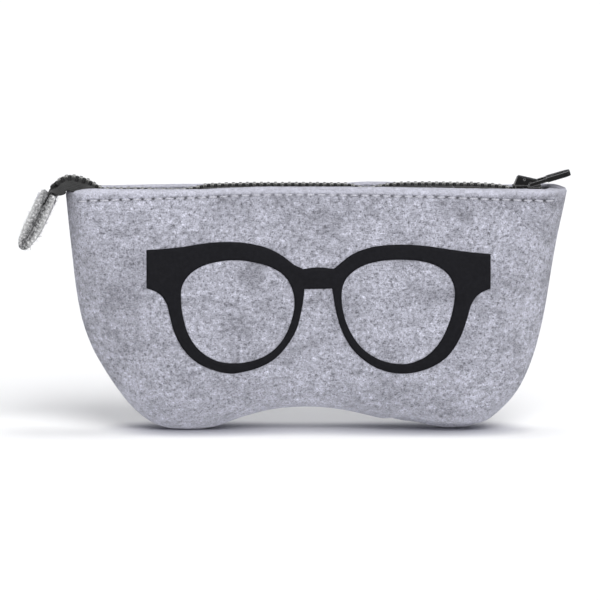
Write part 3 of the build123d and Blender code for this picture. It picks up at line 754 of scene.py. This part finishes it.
# ------------------------------------------------------------------ printed glasses
# (x, z) outlines; the frame's run clockwise from its top left, as seen from the front
FRAME_TOP_LEFT = [
    (-64.0, 70.7), (-57.8, 71.1), (-50.0, 71.9), (-42.8, 73.1), (-35.5, 73.7), (-28.3, 73.5),
    (-21.2, 72.3), (-16.0, 70.4), (-11.8, 67.9), (-8.1, 65.1), (-5.0, 63.7)]
BRIDGE_TOP = [(-5.0, 63.6), (1.0, 64.2), (6.7, 63.6)]
FRAME_TOP_RIGHT = [
    (6.7, 63.6), (9.7, 66.2), (13.5, 69.0), (18.2, 71.0), (24.0, 72.3), (32.0, 72.7),
    (40.5, 72.3), (48.5, 71.2), (57.0, 70.0), (65.8, 69.2)]
RIGHT_RIM = [
    (65.8, 56.2), (62.4, 54.7), (60.0, 52.6), (58.3, 49.3), (57.0, 44.6), (54.3, 37.2),
    (49.8, 30.4), (44.4, 26.4), (37.5, 23.9), (31.5, 23.4), (25.0, 24.7), (19.0, 28.0),
    (13.6, 33.2), (9.6, 40.3), (7.4, 48.0), (6.0, 56.2)]
LEFT_RIM = [
    (-4.4, 56.0), (-5.2, 49.5), (-7.3, 41.0), (-10.8, 34.6), (-15.5, 29.3), (-21.0, 26.0),
    (-27.5, 24.0), (-32.5, 23.4), (-38.5, 24.7), (-44.9, 27.7), (-50.2, 33.0), (-53.6, 39.5),
    (-55.4, 46.2), (-56.4, 50.2), (-58.3, 53.3), (-60.9, 55.2), (-64.0, 56.3)]
RIGHT_LENS = [
    (9.6, 53.0), (10.6, 58.6), (14.0, 62.6), (19.0, 65.3), (25.0, 66.7), (32.0, 67.1),
    (39.5, 66.5), (45.5, 64.7), (50.0, 61.2), (52.2, 56.0), (51.8, 49.4), (49.9, 42.4),
    (46.6, 35.6), (41.8, 30.4), (35.8, 27.6), (30.0, 27.3), (23.8, 29.0), (17.8, 33.0),
    (13.4, 38.8), (10.6, 45.8)]
LEFT_LENS = [
    (-51.0, 52.8), (-50.5, 57.2), (-47.8, 61.4), (-43.0, 64.6), (-37.0, 66.3), (-30.5, 66.9),
    (-24.0, 66.2), (-16.9, 64.2), (-11.9, 60.9), (-9.0, 55.8), (-8.2, 50.2), (-9.4, 43.8),
    (-12.3, 37.2), (-16.8, 32.0), (-23.0, 28.7), (-30.2, 27.5), (-37.0, 28.3), (-43.3, 31.9),
    (-47.8, 37.8), (-50.2, 45.2)]
PRINT_STEP = 0.55           # spacing along the outlines
PRINT_GRID = 1.1            # spacing of the points between them
FILM_OUT, FILM_IN = 0.26, 0.25      # the film's faces before and behind the felt's face


def sample(points, closed=False):
    """A smooth curve through the points at the print's step."""
    if closed:
        curve = curve_points(points[-3:] + points + points[:4], 4000)
        gaps = ((curve - np.array(points[0])) ** 2).sum(1)
        curve = curve[int(np.argmin(gaps[:2000])):2000 + int(np.argmin(gaps[2000:]))]
    else:
        curve = curve_points(points, 2000)
    lengths = run_length(curve)
    count = max(2, int(lengths[-1] / PRINT_STEP))
    return at_length(curve, lengths, np.linspace(0, lengths[-1], count, endpoint=not closed))


def inside_loop(points, loop):
    x, z = points[:, 0], points[:, 1]
    inside = np.zeros(len(points), bool)
    for (x0, z0), (x1, z1) in zip(loop, np.roll(loop, -1, axis=0)):
        rise = z1 - z0 if z1 != z0 else 1e-9
        inside ^= ((z0 > z) != (z1 > z)) & (x < x0 + (z - z0) * (x1 - x0) / rise)
    return inside


def printed_glasses():
    """Thin film following the front panel, with the two lenses cut out."""
    strokes = [FRAME_TOP_LEFT, BRIDGE_TOP, FRAME_TOP_RIGHT, [FRAME_TOP_RIGHT[-1], RIGHT_RIM[0]],
               RIGHT_RIM, [RIGHT_RIM[-1], LEFT_RIM[0]], LEFT_RIM,
               [LEFT_RIM[-1], FRAME_TOP_LEFT[0]]]
    loops = [np.vstack([sample(stroke)[:-1] for stroke in strokes]),
             sample(RIGHT_LENS, closed=True), sample(LEFT_LENS, closed=True)]

    def in_print(points):
        frame_loop, *lenses = (inside_loop(points, loop) for loop in loops)
        return frame_loop & ~lenses[0] & ~lenses[1]

    grid_x, grid_z = np.meshgrid(np.arange(-65, 67, PRINT_GRID), np.arange(23, 74, PRINT_GRID))
    filling = np.stack([grid_x.ravel(), grid_z.ravel()], 1)
    filling = filling[in_print(filling)]
    border = np.vstack(loops)
    filling = filling[[((border - p) ** 2).sum(1).min() > 0.35 for p in filling]]
    border_edges, count = [], 0
    for loop in loops:
        size = len(loop)
        border_edges += [(count + i, count + (i + 1) % size) for i in range(size)]
        count += size
    points, _, cells, *_ = delaunay_2d_cdt([Vector(p) for p in np.vstack([border, filling])],
                                           border_edges, [], 0, 1e-6)
    points = np.array([(p.x, p.y) for p in points])
    centres = np.array([points[list(cell)].mean(0) for cell in cells])
    triangles = [tuple(cell) for cell, kept in zip(cells, in_print(centres)) if kept]

    x, z = points[:, 0], points[:, 1]
    y = -stuffed_depth(x, z, edge_distance(x, z), -1)
    verts = np.vstack([np.stack([x, y - FILM_OUT, z], 1), np.stack([x, y + FILM_IN, z], 1)])
    back = len(points)
    edges = dict.fromkeys((t[k], t[(k + 1) % 3]) for t in triangles for k in range(3))
    faces = triangles + [tuple(i + back for i in t[::-1]) for t in triangles]
    faces += [(b, a, a + back, b + back) for a, b in edges if (b, a) not in edges]
    used = np.unique([i for face in faces for i in face])
    renumbered = -np.ones(len(verts), int)
    renumbered[used] = np.arange(len(used))
    ob = mesh_object("printed_glasses", verts[used],
                     [tuple(renumbered[i] for i in face) for face in faces])
    dress(ob, print_film, body="pouch", replaced=["glasses_motif"])


printed_glasses()


# ------------------------------------------------------------------ stitches
def stitches(side, name):
    """Two-ply stitches arching between the holes of the hem."""
    samples = 9
    inset = 0.55            # from the hole's middle to the stitch's end
    sunk = 0.45             # the stitch's ends lie this deep
    arch = np.sin(np.linspace(0, math.pi, samples))
    parts = []
    for k in range(-22, 23):
        start, end = STITCH_PITCH * k + inset, STITCH_PITCH * (k + 1) - inset
        if abs(start) > STITCH_END or abs(end) > STITCH_END:
            continue
        x = np.linspace(start, end, samples)
        z = stitch_z(x)
        depth = (stuffed_depth(x, z, edge_distance(x, z), side)
                 + HEM_RIDGE - STITCH_PULL - sunk + 0.62 * arch ** 0.5)
        slant = (k % 2) * 0.10 - 0.05
        first = np.stack([x, side * depth, z + slant * np.linspace(-1, 1, samples)], 1)
        parts.append(tube(first, 0.20 + 0.10 * arch, sides=8))
        # second ply twisted round the first
        second = np.stack([x, side * (depth + 0.10 * np.cos(x * 5.0)),
                           z + 0.13 * np.sin(x * 5.0)], 1)
        parts.append(tube(second, 0.14 + 0.06 * arch, sides=6))
    ob = mesh_object("stitches_" + name, *join_parts(parts), outward=False)
    dress(ob, thread, body="pouch", replaced=[name + "_hem_stitching"])


for side, name in SIDES:
    stitches(side, name)

# ------------------------------------------------------------------ zip: teeth and tapes
# height of the chain (x, z)
CHAIN = np.array([
    (-80.5, 91.6), (-64, 91.6), (-61, 91.2), (-50, 91.3), (-45.5, 92.1), (-41, 93.1),
    (-30, 93.4), (-20, 93.5), (0, 93.5), (12, 93.3), (16, 92.3), (20, 91.9), (24, 92.6),
    (28, 93.4), (34, 93.7), (45, 93.7), (60, 93.5), (68, 93.0), (73, 92.2), (76, 91.6),
    (90, 91.6)])
# the chain's climb out of the mouth at the left end (x, z)
CLIMB = [(-80.5, 91.6), (-82.2, 92.15), (-84.2, 93.3), (-86.4, 94.65), (-88.1, 95.4),
         (-89.5, 95.8)]
# left half of a tooth's outline (x, y): leg, waist, head
TOOTH_HALF = [(-0.62, 2.75), (-0.62, 1.6), (-0.56, 1.0), (-0.42, 0.55), (-0.62, 0.15),
              (-0.72, -0.25), (-0.60, -0.62), (-0.25, -0.80)]
# a tooth's layers (z, outline scale)
TOOTH_LAYERS = [(-1.25, 0.78), (-1.12, 0.93), (-0.85, 1.0), (0.0, 1.0), (0.85, 1.0),
                (1.12, 0.93), (1.25, 0.78)]
# tape section (distance from the middle plane, height over the chain): bead, flat, sewn strip
TAPE_SECTION = [
    (0.95, 0.0), (1.1, 0.42), (1.5, 0.55), (1.9, 0.40), (2.15, 0.22), (3.6, 0.1), (4.8, -0.1),
    (5.25, -0.8), (5.45, -2.2), (5.5, -6.0), (5.5, -11.5), (5.1, -11.5), (5.05, -6.0),
    (5.0, -2.4), (4.8, -1.2), (4.5, -0.55), (3.6, -0.4), (2.15, -0.28), (1.9, -0.45),
    (1.5, -0.55), (1.1, -0.42)]
TOOTH_PITCH = 2.66
FIRST_TOOTH = 79.0          # x of the rightmost front tooth
RUN_END = -63.5             # teeth right of this x go into the run along the slider's travel
TAPE_STEP = 0.7


def chain_z(x):
    return np.interp(x, CHAIN[:, 0], CHAIN[:, 1])


def stagger(side):
    """The back teeth sit half a pitch on from the front ones."""
    return 0 if side < 0 else TOOTH_PITCH / 2


def tooth(side):
    """One tooth about the origin, x along the zip and its head at the middle plane."""
    outline = np.array(TOOTH_HALF + [(-x, y) for x, y in TOOTH_HALF[::-1]])
    outline[:, 1] *= side
    centre = np.array([0, 1.0 * side])
    verts = []
    for z, scale in TOOTH_LAYERS:
        ring = centre + (outline - centre) * np.array([scale, 1 - (1 - scale) * 0.45])
        verts += [(x, y, z) for x, y in ring]
    size = len(outline)
    faces = ring_faces(len(TOOTH_LAYERS), size)
    top = len(verts)
    verts += [(0, 1.0 * side, 1.27), (0, 1.0 * side, -1.27)]
    last = top - size
    for j in range(size):
        faces.append((last + j, last + (j + 1) % size, top))
        faces.append(((j + 1) % size, j, top + 1))
    verts = np.array(verts, float)
    # shallow dimple on top of the head
    from_dimple = np.hypot(verts[:, 0], verts[:, 1] + 0.1 * side)
    verts[:, 2] -= np.where(verts[:, 2] > 1.0, 0.25 * bell(from_dimple, 0.4), 0)
    return verts, faces


def place(part, x, z, angle):
    """Turn a part in the xz plane by the chain's slope and move it to (x, z)."""
    verts, faces = part
    cos, sin = math.cos(angle), math.sin(angle)
    return np.stack([verts[:, 0] * cos - verts[:, 2] * sin + x, verts[:, 1],
                     verts[:, 0] * sin + verts[:, 2] * cos + z], 1), faces


def teeth_on_path(side, path, first, end):
    """Teeth spaced along an (x, z) path that runs leftwards."""
    lengths = run_length(path)
    teeth = []
    distance = first + stagger(side)
    while distance < end:
        x, z = at_length(path, lengths, distance)
        x_ahead, z_ahead = at_length(path, lengths, distance + 0.6)
        x_behind, z_behind = at_length(path, lengths, distance - 0.6)
        angle = math.atan2(z_behind - z_ahead, x_behind - x_ahead)
        teeth.append(place(tooth(side), x, z, angle))
        distance += TOOTH_PITCH
    return teeth


def squash_with_slider(ob):
    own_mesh(ob)


def zip_teeth(side, name):
    """The chain's teeth, split into the run and the still left end."""
    moving, still = [], []
    for i in range(62):
        x = FIRST_TOOTH - stagger(side) - i * TOOTH_PITCH
        if x < -79.9:
            break
        slope = float(chain_z(x + 0.8) - chain_z(x - 0.8)) / 1.6
        angle = math.atan(slope) + tooth_jitter.normal(0, 0.02)
        z = float(chain_z(x)) + tooth_jitter.normal(0, 0.04)
        (moving if x > RUN_END else still).append(place(tooth(side), x, z, angle))
    climb = curve_points(CLIMB, 200)
    still += teeth_on_path(side, climb, first=0.6, end=run_length(climb)[-1] + 0.3)
    for tag, teeth in (("run", moving), ("end", still)):
        ob = mesh_object(f"{name}_teeth_{tag}", *join_parts(teeth))
        dress(ob, gunmetal, body="pouch", replaced=[name + "_zip_teeth"])
        if tag == "run":
            squash_with_slider(ob)


def zip_tape(side, name):
    """Cord bead, flat strip and the strip sewn behind the hem, in the same two lengths."""
    size = len(TAPE_SECTION)
    run = np.arange(-62.8, 85.3, TAPE_STEP)
    end = np.append(np.arange(-80.3, -63.2, TAPE_STEP), -62.82)
    for tag, stations in (("run", run), ("end", end)):
        verts = [(x, side * y, z + rise) for x, z in zip(stations, chain_z(stations))
                 for y, rise in TAPE_SECTION]
        last = (len(stations) - 1) * size
        faces = ring_faces(len(stations), size)
        faces.append(tuple(range(size)))
        faces.append(tuple(last + j for j in range(size - 1, -1, -1)))
        ob = mesh_object(f"{name}_tape_{tag}", verts, faces)
        dress(ob, tape, body="pouch",
              replaced=[name + "_zip_tape", name + "_tape_cord"])
        if tag == "run":
            squash_with_slider(ob)


for side, name in SIDES:
    zip_teeth(side, name)
    zip_tape(side, name)

# ------------------------------------------------------------------ loose end: tape and teeth
TAB_TOP, TAB_TIP = np.array((-100.7, 91.9)), np.array((-111.1, 69.9))     # (x, z)
TAB_LENGTH = float(np.linalg.norm(TAB_TIP - TAB_TOP))
tab_along = (TAB_TIP - TAB_TOP) / TAB_LENGTH
tab_across = np.array([-tab_along[1], tab_along[0]])     # to the right and slightly down
# the loose end's path (x, z): the climb, over the top, down into the tab
TAIL_PATH = CLIMB[:-1] + [(-89.9, 95.95), (-91.8, 96.3), (-93.7, 96.4), (-95.6, 95.95),
                          (-97.4, 94.9), (-98.9, 93.4)]
TAIL_PATH += [tuple(TAB_TOP + tab_along * reach) for reach in (0.0, 2.4, 4.6)]
# droop of the tape's outer edge (fraction of the tail's length, droop)
TAIL_DROOP = [(0.0, 3.9), (0.40, 3.9), (0.50, 3.6), (0.56, 3.3), (0.61, 3.3), (0.66, 3.9),
              (0.71, 3.9), (0.77, 2.4), (0.83, 0.1), (0.90, 0.0), (1.0, 0.0)]
TAPE_INNER = 0.95           # y of the tape's inner edge
MOUTH_WIDTH, TAIL_WIDTH = 5.3, 7.5      # y of its outer edge in the mouth and beyond
TAIL_THICKNESS = 0.5

tail = curve_points(TAIL_PATH, 90)
tail_lengths = run_length(tail)


def tail_tape(side, name):
    """The tape widens out of the mouth, droops at its sides and flattens into the tab."""
    tangents = np.gradient(tail, axis=0)
    tangents /= np.linalg.norm(tangents, axis=1)[:, None]
    normals = np.stack([tangents[:, 1], -tangents[:, 0]], 1)    # upwards on a leftward run
    droops = curve_points(TAIL_DROOP, 80)
    columns, rows = 15, len(tail)
    verts = []
    for layer, bead_height in ((0.0, 0.5), (-TAIL_THICKNESS, -0.5)):
        for i, length in enumerate(tail_lengths):
            along = length / tail_lengths[-1]
            width = MOUTH_WIDTH + (TAIL_WIDTH - MOUTH_WIDTH) * ramp_up(length, 3.6, 3.6)
            droop = (float(np.interp(along, droops[:, 0], droops[:, 1]))
                     * ramp_up(length, 4.0, 5.0))
            for j in range(columns):
                out = j / (columns - 1)
                y = TAPE_INNER + (width - TAPE_INNER) * out
                bead = bead_height * math.exp(-((y - 1.5) / 0.55) ** 2)
                wave = 0.12 * math.sin(y * 2.2 + i * 0.25) * out * (1 - along)
                drop = droop * out ** 1.35 + wave
                x, z = tail[i] + normals[i] * (bead + layer - drop)
                verts.append((x, side * y, z))
    under = rows * columns
    faces = []
    for i in range(rows - 1):
        for j in range(columns - 1):
            a = i * columns + j
            b = a + columns
            faces.append((a, a + 1, b + 1, b))
            faces.append((under + a, under + b, under + b + 1, under + a + 1))
    for i in range(rows - 1):
        a = i * columns
        b = a + columns
        faces.append((a, b, under + b, under + a))
        a, b = a + columns - 1, b + columns - 1
        faces.append((a, under + a, under + b, b))
    for j in range(columns - 1):
        a = (rows - 1) * columns + j
        faces.append((j, under + j, under + j + 1, j + 1))
        faces.append((a, a + 1, under + a + 1, under + a))
    ob = mesh_object(name + "_tail_tape", verts, faces)
    dress(ob, tape, replaced=[name + "_tape_tail", name + "_cord_tail"])
    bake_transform(ob)


def tail_teeth(side, name):
    teeth = teeth_on_path(side, tail, first=0.6 + 4 * TOOTH_PITCH, end=20.0)
    ob = mesh_object(name + "_tail_teeth_v", *join_parts(teeth))
    dress(ob, gunmetal, body="zip_tail", replaced=[name + "_tail_teeth"])


for side, name in SIDES:
    tail_tape(side, name)
    tail_teeth(side, name)

# ------------------------------------------------------------------ felt end tab
TAB_HALF = 3.15             # half thickness of the folded strip
TAB_BEND = TAB_LENGTH - TAB_HALF        # where the round of the fold begins
TAB_SLIT = TAB_BEND - 0.6               # where the slit between the two leaves ends
TAB_MARGIN = [6.9, 7.6, 8.1, 8.4, 8.5]  # y stations towards the cut edges
TAB_ROUND = 1.4             # width of the softened edge


def tab_section():
    """Closed section (along, across) and the number of points on its outside."""
    def slit_half(along):
        return 0.36 - 0.33 * float(ramp_up(along, 4.6, 1.2))

    leaf = np.linspace(0, TAB_BEND, 26)
    slit = np.linspace(0.8, TAB_SLIT, 22)
    outside = [(along, -TAB_HALF) for along in leaf]
    for turn in np.radians(np.linspace(-85, 85, 13)):
        outside.append((TAB_BEND + TAB_HALF * math.cos(turn), TAB_HALF * math.sin(turn)))
    outside += [(along, TAB_HALF) for along in leaf[::-1]]
    outside += [(-0.5, TAB_HALF * 0.775), (-0.5, TAB_HALF * 0.6)]
    inside = [(-0.2, 0.44)] + [(along, slit_half(along)) for along in slit]
    for turn in np.radians((60, 0, -60)):
        inside.append((TAB_SLIT + 0.3 * math.cos(turn), 0.08 * math.sin(turn)))
    inside += [(along, -slit_half(along)) for along in slit[::-1]] + [(-0.2, -0.44)]
    lip = [(-0.5, -TAB_HALF * 0.6), (-0.5, -TAB_HALF * 0.775)]
    return np.array(outside + inside + lip), len(outside)


def tab_cut_edge(first, size, outside, flip):
    """Triangles between the outside and the slit at one cut edge."""
    outer = [size - 2, size - 1, *range(outside)]
    inner = list(range(outside, size - 2))[::-1]
    faces = []
    i = j = 0
    while i < len(outer) - 1 or j < len(inner) - 1:
        if (i + 1) / (len(outer) - 1) <= (j + 1) / (len(inner) - 1):
            face = (first + outer[i], first + outer[i + 1], first + inner[j])
            i += 1
        else:
            face = (first + outer[i], first + inner[j + 1], first + inner[j])
            j += 1
        faces.append(face[::-1] if flip else face)
    return faces


def tab_point(along, across, y):
    """A section point, softened at the cut edges, tapered to the tip and set in place."""
    edge = max(0.0, (abs(y) - (TAB_MARGIN[-1] - TAB_ROUND)) / TAB_ROUND)
    shrink = 0.42 * (1 - math.sqrt(max(0.0, 1 - edge * edge)))
    leaf_middle = np.sign(across) * (0.5 + TAB_HALF) / 2
    thick = leaf_middle + (across - leaf_middle) * (1 - shrink)
    reach = along - (0.9 * shrink if along > TAB_BEND else 0)
    # the leaves' upper ends are set back, the left one further
    reach += (2.5 if across < 0 else 0.9) * max(0.0, 1 - max(along, 0.0) / 9.0)
    tip = float(ramp_up(along, TAB_LENGTH - 9.0, 9.0))
    thick = thick * (1 + 0.10 * float(smoothstep(along / 5.0)) - 0.34 * tip) - 0.55 * tip
    x, z = TAB_TOP + tab_along * reach + tab_across * thick
    return x, y, z


def end_tab():
    """One felt strip folded in a U, seen edge-on from the front."""
    section, outside = tab_section()
    stations = np.concatenate([-np.array(TAB_MARGIN[::-1]), np.linspace(-5.9, 5.9, 26),
                               TAB_MARGIN])
    size = len(section)
    verts = np.array([tab_point(*point, y) for y in stations for point in section])
    noise_x = smooth_noise(verts, (2.4, 6.0, 3, 0.16), (0.9, 3.0, 2, 0.07))
    noise_z = smooth_noise(verts, (2.4, 16.0, 3, 0.16), (7.0, 13.0, 2, 0.20))
    verts[:, 0] += noise_x
    verts[:, 2] += noise_z
    verts[:, 1] += smooth_noise(verts, (1.8, 26.0, 2, 0.16))
    faces = ring_faces(len(stations), size)
    faces += tab_cut_edge(0, size, outside, flip=False)
    faces += tab_cut_edge((len(stations) - 1) * size, size, outside, flip=True)
    # painted shade towards the slit between the leaves, painted light on the outside
    off = np.tile(np.abs(section[:, 1]), len(stations))
    ob = mesh_object("felt_end_tab", verts, faces,
                     weights={"dark": np.clip(1 - (off - 0.1) / 2.2, 0, 1) * 0.50,
                              "light": np.clip((off - 2.3) / 0.9, 0, 1) * 0.75})
    dress(ob, tab_felt, body="zip_tail", replaced=["end_tab"])
    return ob


tab = end_tab()


# ------------------------------------------------------------------ fibres standing off the felt
def surface_samples(ob, count, seed, keep):
    """Random face centres (mm) and normals by area, among the faces that keep selects."""
    polygons = ob.data.polygons
    total = len(polygons)
    centres, normals, areas = np.empty(total * 3), np.empty(total * 3), np.empty(total)
    polygons.foreach_get("center", centres)
    polygons.foreach_get("normal", normals)
    polygons.foreach_get("area", areas)
    centres = centres.reshape(-1, 3) / MM
    normals = normals.reshape(-1, 3)
    areas = areas * keep(centres, normals)
    chosen = np.random.default_rng(seed).choice(total, size=count, p=areas / areas.sum())
    return centres[chosen], normals[chosen]


def fuzz(name, source, count, keep, seeds, body, slot, length, radius, lay):
    """Short curved fibres; seeds are for places and shapes, lay is how flat they lie."""
    place_seed, shape_seed = seeds
    random = np.random.default_rng(shape_seed)
    parts = []
    for point, normal in zip(*surface_samples(source, count, place_seed, keep)):
        normal = normal / (np.linalg.norm(normal) + 1e-9)
        flat = random.normal(size=3)
        flat -= normal * flat.dot(normal)
        flat /= np.linalg.norm(flat) + 1e-9
        reach = random.uniform(*length)
        lift = random.uniform(0.15, 1.0) * (1 - lay)
        heading = flat * lay + normal * lift
        curl = random.normal(size=3) * 0.35
        path = [point - normal * 0.12 + heading * reach * part + curl * reach * part * part * 0.5
                for part in (0, 0.3, 0.65, 1.0)]
        parts.append(tube(path, [radius, radius, radius * 0.9, radius * 0.45], sides=3))
    verts, faces = join_parts(parts)
    verts[:, 2] = np.maximum(verts[:, 2], 0.03)
    dress(mesh_object(name, verts, faces, outward=False), loose_fibre, body=body)


def front_fuzz_area(centres, normals):
    """The front's outer face, clear of the print."""
    x, y, z = centres.T
    printed = (np.abs(x) < 67) & (z > 22) & (z < 74)
    return (y < -2.0) & (normals[:, 1] < 0.9) & ~printed


felt_fibres = dict(count=2600, body="pouch", slot="felt",
                   length=(0.8, 2.0), radius=0.035, lay=0.75)
fuzz("felt_fuzz_front", felt_front, keep=front_fuzz_area, seeds=(3, 5), **felt_fibres)
fuzz("felt_fuzz_back", felt_back, keep=lambda centres, normals: centres[:, 1] > 2.0,
     seeds=(4, 6), **felt_fibres)
fuzz("tab_fuzz", tab, keep=lambda centres, normals: np.ones(len(centres)), seeds=(8, 9),
     count=1100, body="zip_tail", slot="tab_felt",
     length=(0.7, 2.3), radius=0.045, lay=0.5)

# longer hairs at the tab's front edge: three (x, z) points and a y
STRAY_HAIRS = [
    ((-108.6, 74.6), (-106.2, 74.9), (-103.6, 75.1), -8.2),
    ((-108.9, 74.0), (-107.0, 74.3), (-105.6, 74.6), -7.6),
    ((-109.6, 72.2), (-108.3, 71.2), (-108.0, 69.8), -8.0),
    ((-109.4, 73.0), (-107.9, 72.6), (-107.0, 71.9), -8.3)]


def stray_hairs():
    hairs = []
    for *points, y in STRAY_HAIRS:
        path = [(x, y + shift, z) for (x, z), shift in zip(points, (0, -0.2, 0.1))]
        hairs.append(tube(curve_points(path, 10), np.linspace(0.10, 0.05, 10), sides=4))
    ob = mesh_object("tab_stray_hairs", *join_parts(hairs), outward=False)
    dress(ob, stray_hair, body="zip_tail")


stray_hairs()

# ------------------------------------------------------------------ carried-over CAD parts
CAD_MATERIALS = {
    "slider_body": lacquer, "slider_cap": lacquer, "pull_tab": lacquer, "lock_pin": steel,
    "seam_thread": thread, "front_top_stop": gunmetal, "back_top_stop": gunmetal,
    "bottom_stop": gunmetal, "tab_stitching": thread}

for part_name, material in CAD_MATERIALS.items():
    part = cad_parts[part_name]
    if isinstance(part, str):       # a node may be given by its object's name
        part = bpy.data.objects[part]
    for slot in part.material_slots:
        slot.material = material
    if not part.material_slots:
        part.data.materials.append(material)

# ------------------------------------------------------------------ floor, light, camera
bpy.ops.mesh.primitive_plane_add(size=12, location=(0, 0, 0))
floor = bpy.context.object
floor.name = "studio_floor"
floor.data.materials.append(floor_material())


def sun(name, turn, spread, power):
    """A sun light; turn and spread are in degrees."""
    light = bpy.data.lights.new(name, "SUN")
    light.energy = power
    light.angle = math.radians(spread)
    ob = bpy.data.objects.new(name, light)
    bpy.context.scene.collection.objects.link(ob)
    ob.rotation_euler = tuple(math.radians(degrees) for degrees in turn)


sun("overhead", turn=(-6, 3, 0), spread=18, power=0.80)
sun("key", turn=(39, 20, 0), spread=42, power=2.28)
sun("front_fill", turn=(85, 0, -10), spread=44, power=0.76)
sun("left_side", turn=(0, -78, 0), spread=50, power=0.70)
sun("right_side", turn=(0, 78, 0), spread=50, power=0.60)

world = bpy.data.worlds.new("studio")
bpy.context.scene.world = world
world.use_nodes = True
background = world.node_tree.nodes["Background"]
background.inputs["Color"].default_value = (0.92, 0.935, 1.0, 1)
background.inputs["Strength"].default_value = 0.235

CAMERA_PITCH = math.radians(8.0)        # looking down
CAMERA_DISTANCE = 1.6
VIEW_WIDTH = 0.228                      # metres seen across at the target
SENSOR_WIDTH = 36
camera_data = bpy.data.cameras.new("camera")
camera = bpy.data.objects.new("camera", camera_data)
bpy.context.scene.collection.objects.link(camera)
target = Vector((-6.1, -4.0, 50.3)) * MM
backwards = Vector((0, -math.cos(CAMERA_PITCH), math.sin(CAMERA_PITCH)))
camera.location = target + CAMERA_DISTANCE * backwards
camera.rotation_euler = (math.radians(90) - CAMERA_PITCH, 0, 0)
camera_data.sensor_width = SENSOR_WIDTH
camera_data.lens = SENSOR_WIDTH * CAMERA_DISTANCE / VIEW_WIDTH
camera_data.clip_end = 50
bpy.context.scene.camera = camera
bpy.context.scene.view_settings.view_transform = "Standard"
